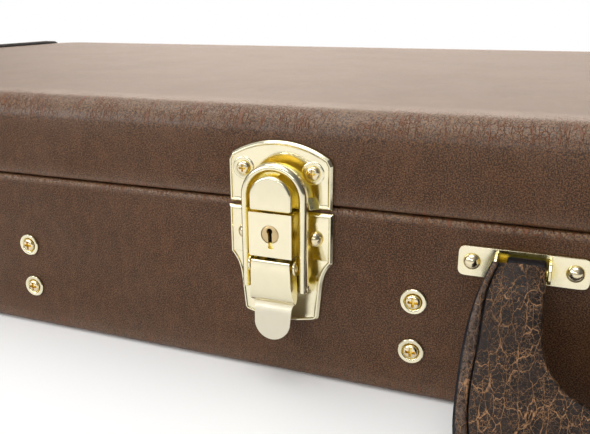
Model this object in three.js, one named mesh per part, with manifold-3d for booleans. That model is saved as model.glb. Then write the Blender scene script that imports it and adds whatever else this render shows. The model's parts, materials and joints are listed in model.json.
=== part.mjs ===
// A hard-shell case for an electric guitar, lying flat and closed.
// Millimetres. +Z is up, +X runs along the case towards its body end, and -Y is the front, where the
// latches and the handle are. The origin is the middle of the underside.
import * as THREE from "three";
import { mergeVertices } from "three/addons/utils/BufferGeometryUtils.js";
import Module from "manifold-3d";

const wasm = await Module();
wasm.setup();

// ---------------------------------------------------------------- driving dimensions

const LENGTH = 1100;
const WIDTH = 375;
const HEIGHT = 108.5; // to the top of the lid panel; the end piping stands a little above it
const SPLIT = 73.2; // height of the line between base and lid
const RIM_GAP = 0.6; // open gap between the two rims
const CORNER = 28; // radius of the four upright corners
const LID_ROLL = 11; // radius of the lid's top edge
const BASE_ROLL = 3.5; // radius of the base's bottom edge
const FIT = 0.2; // gap left between pieces that are glued or fastened together
const PLAY = 0.3; // gap round a pin that something turns on

const COVER = 1.2; // leatherette
const PLY = 5.7; // plywood walls and panels
const TONGUE = 2.8; // plywood ring inside the rim, which locates the lid
const TONGUE_RISE = 5; // how far that ring stands above the base's rim
const LINING = 2; // plush over thin foam
const LID_PAD = 8; // foam on the lid's ceiling

const PLY_OUT = COVER + FIT / 2; // inset of the plywood's outside face
const WALL = PLY_OUT + PLY; // inset of the plywood's inside face
const TONGUE_TOP = SPLIT + TONGUE_RISE;

const LATCH_X = { left: -400, key: -153, centre: 153, right: 400 };
const HANDLE_HALF = 64; // from the handle's middle to each bracket
const HANDLE_PIVOT_Z = 59.4;
const HANDLE_TILT = 40; // degrees from upright at which the hanging handle rests on the table
const HINGE_X = [-400, 0, 400];
const FOOT_X = 455;
const BOX_WALL_X = [-278, -100.6]; // end walls of the accessory box
const BOX_SCREW_Z = [40.3, 19.9];

const FRONT = -WIDTH / 2;
const BACK = WIDTH / 2;
const ROUND = 12; // segments round a small turned part

// ---------------------------------------------------------------- materials

function finish(color, roughness, metalness) {
  return new THREE.MeshStandardMaterial({ color, roughness, metalness });
}

const LEATHERETTE = finish(0x5a4334, 0.55, 0);
const HANDLE_LEATHER = finish(0x35291f, 0.5, 0);
const PLYWOOD = finish(0xb08c5c, 0.8, 0);
const PLUSH = finish(0x6e4a32, 0.95, 0);
const BRASS = finish(0xd9bf77, 0.2, 1);
const BRONZE = finish(0x9c7a4c, 0.4, 1);

// ---------------------------------------------------------------- solids

// A closed geometry as a manifold-3d solid.
function solid(geometry) {
  const bare = geometry.clone();
  bare.deleteAttribute("normal");
  bare.deleteAttribute("uv");
  const merged = mergeVertices(bare, 1e-4);
  const vertProperties = merged.attributes.position.array;
  const triVerts = new Uint32Array(merged.index.array);
  return new wasm.Manifold(new wasm.Mesh({ numProp: 3, vertProperties, triVerts }));
}

function geometryOf(manifold) {
  const mesh = manifold.getMesh();
  const geometry = new THREE.BufferGeometry();
  geometry.setAttribute("position", new THREE.BufferAttribute(new Float32Array(mesh.vertProperties), 3));
  geometry.setIndex(new THREE.BufferAttribute(mesh.triVerts, 1));
  return geometry;
}

function join(...geometries) {
  return geometryOf(geometries.map(solid).reduce((sum, next) => sum.add(next)));
}

function cut(geometry, ...tools) {
  return geometryOf(tools.map(solid).reduce((sum, tool) => sum.subtract(tool), solid(geometry)));
}

function box(x0, x1, y0, y1, z0, z1) {
  const geometry = new THREE.BoxGeometry(x1 - x0, y1 - y0, z1 - z0);
  return geometry.translate((x0 + x1) / 2, (y0 + y1) / 2, (z0 + z1) / 2);
}

// A cylinder along X or Y, centred on a point.
function rod(axis, radius, length, x, y, z, segments = ROUND) {
  const geometry = new THREE.CylinderGeometry(radius, radius, length, segments);
  if (axis === "x") geometry.rotateZ(Math.PI / 2);
  return geometry.translate(x, y, z);
}

// A front-view outline, in x and z, made solid from one level to another.
// A level is a distance out from the front face, so it points along -Y.
function facing(shape, low, high, curveSegments = 8) {
  const depth = high - low;
  const geometry = new THREE.ExtrudeGeometry(shape, { depth, bevelEnabled: false, curveSegments });
  return geometry.translate(0, 0, low).rotateX(Math.PI / 2);
}

// A side-view outline, in z and level, made solid across x.
function sideways(points, x0, x1) {
  const shape = new THREE.Shape(points.map(([z, level]) => new THREE.Vector2(level, z)));
  const geometry = new THREE.ExtrudeGeometry(shape, { depth: x1 - x0, bevelEnabled: false });
  return geometry.rotateX(Math.PI / 2).rotateZ(-Math.PI / 2).translate(x1, 0, 0);
}

// A turned part whose axis runs out of the front face. The profile is [radius, level] pairs.
function turned(profile) {
  const points = profile.map(([r, level]) => new THREE.Vector2(r, level));
  return new THREE.LatheGeometry(points, ROUND).rotateX(Math.PI);
}

// A rectangle with round corners, as points in order, inset from the case's outline.
function roundedOutline(inset, segments = 4) {
  const x = LENGTH / 2 - inset;
  const y = WIDTH / 2 - inset;
  const r = Math.max(CORNER - inset, 2);
  const points = [];
  [[1, 1, 0], [-1, 1, 1], [-1, -1, 2], [1, -1, 3]].forEach(([sx, sy, quarter]) => {
    for (let i = 0; i <= segments; i += 1) {
      const angle = (Math.PI / 2) * (quarter + i / segments);
      points.push([sx * (x - r) + r * Math.cos(angle), sy * (y - r) + r * Math.sin(angle)]);
    }
  });
  return points;
}

// A closed shell through rounded outlines. Each ring is [inset, height]; both ends are capped.
function loft(rings) {
  const outlines = rings.map(([inset, z]) => roundedOutline(inset).map(([x, y]) => [x, y, z]));
  const count = outlines[0].length;
  const index = [];
  for (let ring = 0; ring + 1 < rings.length; ring += 1) {
    for (let i = 0; i < count; i += 1) {
      const a = ring * count + i;
      const b = ring * count + ((i + 1) % count);
      index.push(a, b, b + count, a, b + count, a + count);
    }
  }
  const last = (rings.length - 1) * count;
  for (let i = 1; i + 1 < count; i += 1) {
    index.push(0, i + 1, i);
    index.push(last, last + i, last + i + 1);
  }
  if (rings[1][1] < rings[0][1]) index.reverse();
  const geometry = new THREE.BufferGeometry();
  geometry.setAttribute("position", new THREE.Float32BufferAttribute(outlines.flat(2), 3));
  geometry.setIndex(index);
  return geometry;
}

// Rings of a quarter-round edge that starts flat at height z and ends upright; turn is 1 rising, -1 falling.
function roll(inset, z, radius, turn) {
  return [0, 1, 2, 3, 4].map((i) => {
    const angle = (Math.PI / 8) * i;
    return [inset + radius * (1 - Math.sin(angle)), z + turn * radius * (1 - Math.cos(angle))];
  });
}

const base = new THREE.Group();
const lid = new THREE.Group();

function place(group, name, geometry, material, x = 0, y = 0, z = 0) {
  const mesh = new THREE.Mesh(geometry, material);
  mesh.name = name;
  mesh.position.set(x, y, z);
  group.add(mesh);
}

const SIDES = [["left", -1], ["right", 1]];

// The low and high ends of a span that is mirrored by a sign.
function mirrored(sign, near, far) {
  return [sign * near, sign * far].sort((a, b) => a - b);
}

// ---------------------------------------------------------------- fasteners

const RIVET = { head: 2.9, rise: 2.1, shank: 1.3, reach: 5.5 };
const STRIKE_SCREW = { head: 2.7, rise: 1.6, shank: 1.3, reach: 5.5 };
const CUP = { outer: 4.65, seat: 3.4, bore: 1.9, rise: 1.3 };
const BOX_SCREW = { head: 3.1, shank: 1.4, reach: 26, under: 0.75, rim: 1.55, crown: 2.4 };
const HOLE_PLAY = 0.35;

// A domed head standing on a level, with a shank that reaches into the wall.
function fastener({ head, rise, shank, reach }, level) {
  const profile = [[0, -reach], [shank, -reach], [shank, level], [head, level]];
  for (let i = 1; i < 4; i += 1) {
    const angle = (Math.PI / 8) * i;
    profile.push([head * Math.cos(angle), level + rise * Math.sin(angle)]);
  }
  profile.push([0, level + rise]);
  return turned(profile);
}

function hole(x, z, radius, reach = 8, y = FRONT) {
  return rod("y", radius + HOLE_PLAY, reach * 2, x, y, z, 8);
}

// ---------------------------------------------------------------- latch

// Heights are above the underside; levels are out from the front face.
const LATCH = {
  plate: [0.2, 1.7],
  half: 21,
  strikeBottom: 72.1,
  strikeShoulder: 90.6,
  strikeTop: 97.2,
  plateTop: 70.8,
  plateShoulder: 51,
  plateWaist: [17.3, 42.3],
  plateFoot: [15.8, 27.4],
  plateBottom: 24.2,
  hookHalf: 8.4,
  hookLip: 9, // level of the lip's inner face
  neckTop: 83.1,
  neckHalf: 7.4,
  hookBottom: 72.4,
  hookTop: 85.8,
  face: 11.4,
  housingHalf: 8.6,
  housing: [54.7, 71.9],
  rivet: [14, 60.6],
  screw: [14, 85.6],
};
const PLUG = { radius: 3.4, z: 63.7, face: 11.7, depth: 8, slotHalf: [0.6, 2.4], slotDepth: 6, segments: 16 };
const LEVER_PIVOT = { z: 50.5, level: 8.5, radius: 1 };
const BAIL_PIVOT = { z: 42.2, level: 6.2, radius: 0.9 };
const BAIL = { outer: 13.2, inner: 10.75, levels: [5, 7.7], archZ: 76.8, eye: 2.3, tip: 83.9, tipHalf: 3 };
const EAR = { inside: 9, outside: 10.2, half: 3, tipHalf: 1.4, tipRise: 2.6 };
const LEVER = {
  half: 8.3,
  top: 53.1,
  crease: 36,
  topFace: 11.8, // level of the outer face at the top
  tabFace: 10.2, // and from the crease down
  flange: [[51.1, 6.2], [45, 4.2], [38, 4.6]], // height and level along the flanges' inner edge
  tabHalf: 7.5,
  tabBottom: 20.6,
  sheet: 1.2,
};

function strikeOutline() {
  const { half, strikeBottom, strikeShoulder, strikeTop } = LATCH;
  const sagitta = strikeTop - strikeShoulder;
  const radius = (half * half + sagitta * sagitta) / (2 * sagitta);
  const swing = Math.asin(half / radius);
  const shape = new THREE.Shape();
  shape.moveTo(-half, strikeBottom);
  shape.lineTo(half, strikeBottom);
  shape.absarc(0, strikeTop - radius, radius, Math.PI / 2 - swing, Math.PI / 2 + swing, false);
  return shape;
}

// The lower plate narrows through a shoulder to a waisted foot.
function basePlateOutline() {
  const { half, plateTop, plateShoulder, plateWaist, plateFoot, plateBottom } = LATCH;
  const [waistX, waistZ] = plateWaist;
  const [footX, footZ] = plateFoot;
  const bend = [waistX + 0.6, (plateShoulder + waistZ) / 2];
  const shape = new THREE.Shape();
  shape.moveTo(-half, plateTop);
  shape.lineTo(-half, plateShoulder);
  shape.quadraticCurveTo(-bend[0], bend[1], -waistX, waistZ);
  shape.lineTo(-footX, footZ);
  shape.quadraticCurveTo(0, 2 * plateBottom - footZ, footX, footZ);
  shape.lineTo(waistX, waistZ);
  shape.quadraticCurveTo(...bend, half, plateShoulder);
  shape.lineTo(half, plateTop);
  return shape;
}

function archOutline(half, bottom, top) {
  const shape = new THREE.Shape();
  shape.moveTo(-half, bottom);
  shape.lineTo(half, bottom);
  shape.lineTo(half, top - half);
  shape.absarc(0, top - half, half, 0, Math.PI, false);
  return shape;
}

function strikePlate() {
  const [x, z] = LATCH.screw;
  const plate = facing(strikeOutline(), ...LATCH.plate);
  return cut(plate, hole(-x, z, STRIKE_SCREW.shank, 8, 0), hole(x, z, STRIKE_SCREW.shank, 8, 0));
}

// A head on a shorter neck. The tip of the bail drops behind the head's lip and bears on the neck.
function hook(low) {
  const { hookHalf, hookBottom, hookTop, hookLip, neckTop, neckHalf, face } = LATCH;
  const head = facing(archOutline(hookHalf, hookBottom, hookTop), hookLip, face, 6);
  const neck = facing(archOutline(neckHalf, hookBottom, neckTop), low, hookLip + 0.1, 6);
  return join(head, neck);
}

// The two lugs that stand out of the base plate and carry the lever's pin.
function ears(bored) {
  const { inside, outside, half, tipHalf, tipRise } = EAR;
  const { z, level } = LEVER_PIVOT;
  const foot = LATCH.plate[1] - FIT;
  const top = level + tipRise;
  const outline = [[z - half, foot], [z - half, level], [z - tipHalf, top], [z + tipHalf, top],
    [z + half, level], [z + half, foot]];
  return SIDES.map(([, sign]) => {
    const blank = sideways(outline, ...mirrored(sign, inside, outside));
    return bored ? cut(blank, pin(LEVER_PIVOT, 60, PLAY)) : blank;
  });
}

function basePlate() {
  const [x, z] = LATCH.rivet;
  const plate = join(facing(basePlateOutline(), ...LATCH.plate, 5), ...ears(true));
  return cut(plate, hole(-x, z, RIVET.shank, 8, 0), hole(x, z, RIVET.shank, 8, 0));
}

function lockHousing(low, bored) {
  const half = LATCH.housingHalf;
  const block = box(-half, half, -LATCH.face, -low, ...LATCH.housing);
  if (!bored) return block;
  return cut(block, rod("y", PLUG.radius + PLAY, 2 * PLUG.depth + 2, 0, -PLUG.face, PLUG.z, PLUG.segments));
}

function lockPlug() {
  const { radius, z, face, depth, slotHalf, slotDepth, segments } = PLUG;
  const barrel = rod("y", radius, depth, 0, -face + depth / 2, z, segments);
  const [x, height] = slotHalf;
  return cut(barrel, box(-x, x, -face - 1, -face + slotDepth, z - height, z + height));
}

// A channel: a sloping face with two flanges, ending in a thumb tab. It carries the pin the bail turns on.
function lever() {
  const { half, top, crease, topFace, tabFace, flange, tabHalf, tabBottom, sheet } = LEVER;
  const slope = [[top, topFace - sheet], [top, topFace], [crease, tabFace], [crease, tabFace - sheet]];
  const face = sideways(slope, -half, half);
  const flangeOutline = [[top, topFace - sheet / 2], ...flange, [crease, tabFace - sheet / 2]].reverse();
  const flanges = SIDES.map(([, sign]) => sideways(flangeOutline, ...mirrored(sign, half - sheet, half)));
  const tab = facing(tabOutline(tabHalf, tabBottom, crease + 1), tabFace - sheet, tabFace, 6);
  const channel = cut(join(face, tab, ...flanges), pin(LEVER_PIVOT, 40, PLAY));
  return join(channel, pin(BAIL_PIVOT, 2 * BAIL.outer - 0.8));
}

function tabOutline(half, bottom, top) {
  const shape = new THREE.Shape();
  shape.moveTo(half, top);
  shape.lineTo(-half, top);
  shape.lineTo(-half, bottom + half);
  shape.absarc(0, bottom + half, half, Math.PI, 2 * Math.PI, false);
  return shape;
}

function pin({ z, level, radius }, length, play = 0) {
  return rod("x", radius + play, length, 0, -level, z, 8);
}

// The U-shaped bail: two legs with eyes at their feet, joined by an arch with a pointed tip inside it.
function bail() {
  const { outer, inner, levels, archZ, eye, tip, tipHalf } = BAIL;
  const tipAngle = Math.asin(tipHalf / inner);
  const shape = new THREE.Shape();
  shape.moveTo(outer, BAIL_PIVOT.z);
  shape.lineTo(outer, archZ);
  shape.absarc(0, archZ, outer, 0, Math.PI, false);
  shape.lineTo(-outer, BAIL_PIVOT.z);
  shape.lineTo(-inner, BAIL_PIVOT.z);
  shape.lineTo(-inner, archZ);
  shape.absarc(0, archZ, inner, Math.PI, Math.PI / 2 + tipAngle, true);
  shape.lineTo(0, tip);
  shape.absarc(0, archZ, inner, Math.PI / 2 - tipAngle, 0, true);
  shape.lineTo(inner, BAIL_PIVOT.z);
  const middle = (outer + inner) / 2;
  const eyes = [-middle, middle].map((x) => (
    rod("x", eye, outer - inner, x, -BAIL_PIVOT.level, BAIL_PIVOT.z, 10)
  ));
  return cut(join(facing(shape, ...levels, 7), ...eyes), pin(BAIL_PIVOT, 40, PLAY));
}

function addPlainLatch(side) {
  const x = LATCH_X[side];
  const seat = LATCH.plate[1] - 0.1;
  const strike = join(facing(strikeOutline(), ...LATCH.plate), hook(seat));
  place(lid, `${side}_latch_strike`, strike, BRASS, x, FRONT);
  const body = join(facing(basePlateOutline(), ...LATCH.plate, 5), ...ears(false), lockHousing(seat, false));
  const plate = join(body, pin(LEVER_PIVOT, 2 * EAR.inside + 1));
  place(base, `${side}_latch_base_plate`, plate, BRASS, x, FRONT);
  place(base, `${side}_latch_lever`, lever(), BRASS, x, FRONT);
  place(base, `${side}_latch_bail`, bail(), BRASS, x, FRONT);
}

function addKeyLatch() {
  const x = LATCH_X.key;
  const seat = LATCH.plate[1] + FIT;
  place(lid, "key_latch_strike_plate", strikePlate(), BRASS, x, FRONT);
  place(lid, "key_latch_hook", hook(seat), BRASS, x, FRONT);
  place(base, "key_latch_base_plate", basePlate(), BRASS, x, FRONT);
  place(base, "key_latch_lock_housing", lockHousing(seat, true), BRASS, x, FRONT);
  place(base, "key_latch_lock_plug", lockPlug(), BRONZE, x, FRONT);
  place(base, "key_latch_lever", lever(), BRASS, x, FRONT);
  place(base, "key_latch_lever_pin", pin(LEVER_PIVOT, 2 * EAR.outside), BRASS, x, FRONT);
  place(base, "key_latch_bail", bail(), BRASS, x, FRONT);
  SIDES.forEach(([side, sign]) => {
    const [screwX, screwZ] = LATCH.screw;
    const [rivetX, rivetZ] = LATCH.rivet;
    place(lid, `key_latch_strike_screw_${side}`, fastener(STRIKE_SCREW, seat), BRASS,
      x + sign * screwX, FRONT, screwZ);
    place(base, `key_latch_rivet_${side}`, fastener(RIVET, seat), BRASS, x + sign * rivetX, FRONT, rivetZ);
  });
}

// ---------------------------------------------------------------- handle

const BRACKET = {
  length: 43,
  height: 11,
  corner: 2.5,
  levels: [0.2, 1.4],
  window: [16.3, 8.4], // length and height
  wall: 1.2,
  wallHeight: 7.2,
  wallTop: 7.4, // level
  barLevel: 5.2,
};
const BAR = 1.6; // radius of the bracket's bar
const HANDLE_RIVET_X = 16.8;

function bracket() {
  const { length, height, corner: r, levels, window, wall, wallHeight, wallTop, barLevel } = BRACKET;
  const [x, y] = [length / 2, height / 2];
  const [openX, openZ] = [window[0] / 2, window[1] / 2];
  const outline = new THREE.Shape();
  outline.absarc(x - r, y - r, r, 0, Math.PI / 2, false);
  outline.absarc(-x + r, y - r, r, Math.PI / 2, Math.PI, false);
  outline.absarc(-x + r, -y + r, r, Math.PI, 1.5 * Math.PI, false);
  outline.absarc(x - r, -y + r, r, 1.5 * Math.PI, 2 * Math.PI, false);
  const plate = facing(outline, ...levels, 3);
  const opening = box(-openX, openX, -levels[1] - 1, 1, -openZ, openZ);
  const walls = SIDES.map(([, sign]) => (
    box(...mirrored(sign, openX, openX + wall), -wallTop, -levels[0], -wallHeight / 2, wallHeight / 2)
  ));
  const bar = rod("x", BAR, window[0] + wall, 0, -barLevel, 0);
  const holes = SIDES.map(([, sign]) => hole(sign * HANDLE_RIVET_X, 0, RIVET.shank, 8, 0));
  return cut(join(cut(plate, opening), ...walls, bar), ...holes);
}

const GRIP = {
  outer: 79.5, // half its length
  drop: 72, // from the pivot to the bottom edge
  window: 43, // from the pivot to the top of the grip bar
  corner: 22,
  legTop: 5.4, // below the pivot, where the full width starts
  legOuter: 75,
  legInner: 56.4,
  outerBend: [18, 40], // how far down the outer edge curves, and where it runs straight
  innerBend: [22, 28], // how far down the window starts to round, and how far along it ends
  thick: 17,
  edge: 4,
  loopHalf: 5.6,
  loop: 4.3,
  flap: [4.7, 7.2], // the front flap that covers the bracket's bar
  flapDrop: 9.4,
};

function gripOutline() {
  const { outer, drop, window, corner, legTop, legOuter, legInner, outerBend, innerBend } = GRIP;
  const shape = new THREE.Shape();
  shape.moveTo(-legOuter, -legTop);
  shape.quadraticCurveTo(-outer, -outerBend[0], -outer, -outerBend[1]);
  shape.lineTo(-outer, -drop + corner);
  shape.quadraticCurveTo(-outer, -drop, -outer + corner, -drop);
  shape.lineTo(outer - corner, -drop);
  shape.quadraticCurveTo(outer, -drop, outer, -drop + corner);
  shape.lineTo(outer, -outerBend[1]);
  shape.quadraticCurveTo(outer, -outerBend[0], legOuter, -legTop);
  shape.lineTo(legInner, -legTop);
  shape.lineTo(legInner - 1, -innerBend[0]);
  shape.quadraticCurveTo(legInner - 3, -window, legInner - innerBend[1], -window);
  shape.lineTo(-legInner + innerBend[1], -window);
  shape.quadraticCurveTo(-legInner + 3, -window, -legInner + 1, -innerBend[0]);
  shape.lineTo(-legInner, -legTop);
  return shape;
}

// The hanging handle in its own frame: the brackets' bars lie on z = 0 and the grip is below them.
function handleGrip() {
  const { outer, thick, edge, legTop, legOuter, legInner, loopHalf, loop, flap, flapDrop } = GRIP;
  const body = new THREE.ExtrudeGeometry(gripOutline(), {
    depth: thick - 2 * edge, bevelSize: edge, bevelThickness: edge, bevelOffset: -edge,
    bevelSegments: 2, curveSegments: 5,
  }).translate(0, 0, -thick / 2 + edge).rotateX(Math.PI / 2);
  // towards the brackets the leather thins, mostly from behind
  const surface = thick / 2 + 0.3;
  const behind = sideways([[2, -3.5], [-legTop, -3.5], [-22, -surface], [2, -20]], -outer, outer);
  const before = sideways([[2, flap[1]], [-legTop, flap[1]], [-16, surface], [2, 20]], -outer, outer);
  const ends = SIDES.map(([, sign]) => {
    const x = sign * HANDLE_HALF;
    const ring = rod("x", loop, loopHalf * 2, x, 0, 0, 16);
    const neck = box(x - loopHalf, x + loopHalf, -flap[1] + 0.5, loop - 0.9, -legTop - 6, -BAR);
    const cover = box(...mirrored(sign, legInner + 1, legOuter - 1), -flap[1], -flap[0], -flapDrop, 0);
    return join(ring, neck, cover);
  });
  const bores = SIDES.map(([, sign]) => rod("x", BAR + 0.5, 30, sign * HANDLE_HALF, 0, 0));
  return cut(join(cut(body, behind, before), ...ends), ...bores);
}

function addHandle() {
  const seat = BRACKET.levels[1] + FIT;
  let count = 0;
  SIDES.forEach(([side, sign]) => {
    place(base, `handle_bracket_${side}`, bracket(), BRASS, sign * HANDLE_HALF, FRONT, HANDLE_PIVOT_Z);
    SIDES.forEach(([, end]) => {
      count += 1;
      const x = sign * HANDLE_HALF + end * HANDLE_RIVET_X;
      place(base, `handle_rivet_${count}`, fastener(RIVET, seat), BRASS, x, FRONT, HANDLE_PIVOT_Z);
    });
  });
  const swing = new THREE.Group();
  swing.position.set(0, FRONT - BRACKET.barLevel, HANDLE_PIVOT_Z);
  swing.rotation.x = THREE.MathUtils.degToRad(-HANDLE_TILT);
  base.add(swing);
  place(swing, "handle_grip", handleGrip(), HANDLE_LEATHER);
}

// ---------------------------------------------------------------- shell

// Where a shank enters the front wall of the base or of the lid.
function baseDrillings() {
  const [x, z] = LATCH.rivet;
  const latch = SIDES.map(([, sign]) => hole(LATCH_X.key + sign * x, z, RIVET.shank, RIVET.reach + 0.5));
  const handle = SIDES.flatMap(([, sign]) => SIDES.map(([, end]) => (
    hole(sign * HANDLE_HALF + end * HANDLE_RIVET_X, HANDLE_PIVOT_Z, RIVET.shank, RIVET.reach + 0.5)
  )));
  return [...latch, ...handle, ...boxDrillings()];
}

function boxDrillings() {
  return BOX_WALL_X.flatMap((x) => BOX_SCREW_Z.map((z) => hole(x, z, BOX_SCREW.shank, BOX_SCREW.reach + 1)));
}

function lidDrillings() {
  const [x, z] = LATCH.screw;
  const { shank, reach } = STRIKE_SCREW;
  return SIDES.map(([, sign]) => hole(LATCH_X.key + sign * x, z, shank, reach + 0.5));
}

// A path round one end of the case, from the front corner to the back corner.
class EndEdge extends THREE.Curve {
  constructor(side, inset, z, past) {
    super();
    Object.assign(this, { side, inset, z, past });
  }

  getPoint(t) {
    const r = CORNER - this.inset;
    const straight = WIDTH - 2 * CORNER;
    const quarter = (Math.PI / 2) * r;
    const s = t * (2 * this.past + 2 * quarter + straight) - this.past - quarter - straight / 2;
    const along = Math.abs(s) - straight / 2;
    const turn = Math.min(Math.max(along / r, 0), Math.PI / 2);
    const x = LENGTH / 2 - CORNER + r * Math.cos(turn) - Math.max(along - quarter, 0);
    const y = Math.min(Math.abs(s), straight / 2) + r * Math.sin(turn);
    return new THREE.Vector3(this.side * x, Math.sign(s) * y, this.z);
  }
}

const PIPING = { radius: 2.2, lidZ: HEIGHT - 0.6, lidInset: 6.5, baseZ: 3, baseInset: 0.4, past: 6 };

// A leather-covered cord sewn along an end edge.
function piping(side, inset, z) {
  const { radius, past } = PIPING;
  const round = new THREE.Shape();
  round.absarc(0, 0, radius, 0, 2 * Math.PI, false);
  return new THREE.ExtrudeGeometry(round, {
    extrudePath: new EndEdge(side, inset, z, past), steps: 18, curveSegments: 3, bevelEnabled: false,
  });
}

// The leatherette turns over each rim and covers the plywood's edge.
const LIP = 1;
const RIM_EASE = 0.6; // bevel on the outer edge of a rim

function addBaseShell() {
  const rim = SPLIT - RIM_GAP / 2;
  const plyTop = rim - LIP - FIT / 2;
  const ease = BASE_ROLL - COVER;
  const outside = loft([...roll(0, 0, BASE_ROLL, 1), [0, rim - RIM_EASE], [RIM_EASE, rim]]);
  const inside = loft([...roll(COVER, COVER, ease, 1), [COVER, rim - LIP], [WALL, rim - LIP],
    [WALL, rim + 1]]);
  const cords = SIDES.map(([, sign]) => piping(sign, PIPING.baseInset, PIPING.baseZ));
  const skin = cut(join(outside, ...cords), inside, ...baseDrillings());
  place(base, "base_covering", skin, LEATHERETTE);
  const ply = loft([[PLY_OUT + ease, PLY_OUT], [PLY_OUT, PLY_OUT + ease], [PLY_OUT, plyTop], [WALL, plyTop],
    [WALL, WALL]]);
  place(base, "base_shell", cut(ply, ...baseDrillings()), PLYWOOD);
}

function addLidShell() {
  const rim = SPLIT + RIM_GAP / 2;
  const plyBottom = rim + LIP + FIT / 2;
  const outside = loft([...roll(0, HEIGHT, LID_ROLL, -1), [0, rim + RIM_EASE], [RIM_EASE, rim]]);
  const inside = loft([...roll(COVER, HEIGHT - COVER, LID_ROLL - COVER, -1), [COVER, rim + LIP],
    [WALL, rim + LIP], [WALL, rim - 1]]);
  const cords = SIDES.map(([, sign]) => piping(sign, PIPING.lidInset, PIPING.lidZ));
  const skin = cut(join(outside, ...cords), inside, ...lidDrillings());
  place(lid, "lid_covering", skin, LEATHERETTE);
  const ply = loft([...roll(PLY_OUT, HEIGHT - PLY_OUT, LID_ROLL - PLY_OUT, -1), [PLY_OUT, plyBottom],
    [WALL, plyBottom], [WALL, HEIGHT - WALL]]);
  place(lid, "lid_shell", cut(ply, ...lidDrillings()), PLYWOOD);
}

// ---------------------------------------------------------------- inside

const FLOOR = WALL + FIT; // height of the lining's underside
const LINED = WALL + FIT + TONGUE + FIT + LINING + FIT; // inset of the clear space inside the base
const FLOOR_TOP = FLOOR + LINING + FIT;
const CRADLE = { x0: -62, x1: -20, half: 62, top: 50, notch: 31, notchEase: 4, notchDepth: 22 };
const PAD = { x0: 44, top: 62, floor: 3, corner: 20 };
const BOX = { wall: 8, rearWall: 6, rearY: -56, top: 60, coverGap: 0.4, cover: 4, coverPlay: 0.6 };
// Half of the guitar's outline, from the neck to the tail, as curves of three [x, half width] points each.
const WELL_START = [PAD.x0, 45];
const WELL = [
  [[66, 60], [62, 150], [140, 150]], // upper bout
  [[215, 150], [225, 122], [285, 122]], // waist
  [[350, 122], [345, 163], [420, 163]], // lower bout
  [[495, 163], [512, 80], [512, 0]], // tail
];

// A plan-view outline made solid from one height to another.
function upright(shape, z0, z1) {
  const depth = z1 - z0;
  const geometry = new THREE.ExtrudeGeometry(shape, { depth, bevelEnabled: false, curveSegments: 5 });
  return geometry.translate(0, 0, z0);
}

function ringBetween(outerInset, innerInset, z0, z1) {
  const shape = new THREE.Shape(roundedOutline(outerInset).map(([x, y]) => new THREE.Vector2(x, y)));
  shape.holes.push(new THREE.Path(roundedOutline(innerInset).map(([x, y]) => new THREE.Vector2(x, y))));
  return upright(shape, z0, z1);
}

// The guitar-shaped well, which runs out of the padding at the neck.
function wellOutline() {
  const [x, half] = WELL_START;
  const shape = new THREE.Shape();
  shape.moveTo(x, half);
  WELL.forEach((points) => shape.bezierCurveTo(...points.flat()));
  const ends = [WELL_START, ...WELL.map((points) => points[2])];
  WELL.map((points, i) => [points[1], points[0], ends[i]]).reverse()
    .forEach((points) => shape.bezierCurveTo(...points.flatMap(([px, py]) => [px, -py])));
  shape.lineTo(x - 1, -half);
  shape.lineTo(x - 1, half);
  return shape;
}

// The padded block that holds the guitar's body, with a thin padded floor under the well.
function bodyPadding() {
  const { x0, top, floor, corner: r } = PAD;
  const x1 = LENGTH / 2 - LINED;
  const y = WIDTH / 2 - LINED;
  const block = new THREE.Shape();
  block.moveTo(x0, y);
  block.lineTo(x0, -y);
  block.absarc(x1 - r, -y + r, r, -Math.PI / 2, 0, false);
  block.absarc(x1 - r, y - r, r, 0, Math.PI / 2, false);
  return cut(upright(block, FLOOR_TOP, top), upright(wellOutline(), FLOOR_TOP + floor, top + 1));
}

function neckCradle() {
  const { x0, x1, half, top, notch, notchEase, notchDepth } = CRADLE;
  const shape = new THREE.Shape();
  shape.moveTo(-half, FLOOR_TOP);
  shape.lineTo(half, FLOOR_TOP);
  shape.lineTo(half, top);
  shape.lineTo(notch + notchEase, top);
  shape.quadraticCurveTo(notch, top - notchDepth, 0, top - notchDepth);
  shape.quadraticCurveTo(-notch, top - notchDepth, -notch - notchEase, top);
  shape.lineTo(-half, top);
  return new THREE.ExtrudeGeometry(shape, { depth: x1 - x0, bevelEnabled: false, curveSegments: 4 })
    .rotateX(Math.PI / 2).rotateZ(Math.PI / 2).translate(x0, 0, 0);
}

// Three plywood walls that close off the accessory space against the front wall.
function accessoryBox() {
  const { wall, rearWall, rearY, top } = BOX;
  const ends = BOX_WALL_X.map((x) => box(x - wall / 2, x + wall / 2, FRONT + LINED, rearY, FLOOR_TOP, top));
  const rear = box(...boxEnds(), rearY - rearWall, rearY, FLOOR_TOP, top);
  return cut(join(...ends, rear), ...boxDrillings());
}

function boxEnds() {
  return [BOX_WALL_X[0] - BOX.wall / 2, BOX_WALL_X[1] + BOX.wall / 2];
}

function accessoryCover() {
  const { rearY, top, coverGap, cover, coverPlay } = BOX;
  return box(...boxEnds(), FRONT + LINED + coverPlay, rearY, top + coverGap, top + coverGap + cover);
}

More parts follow.
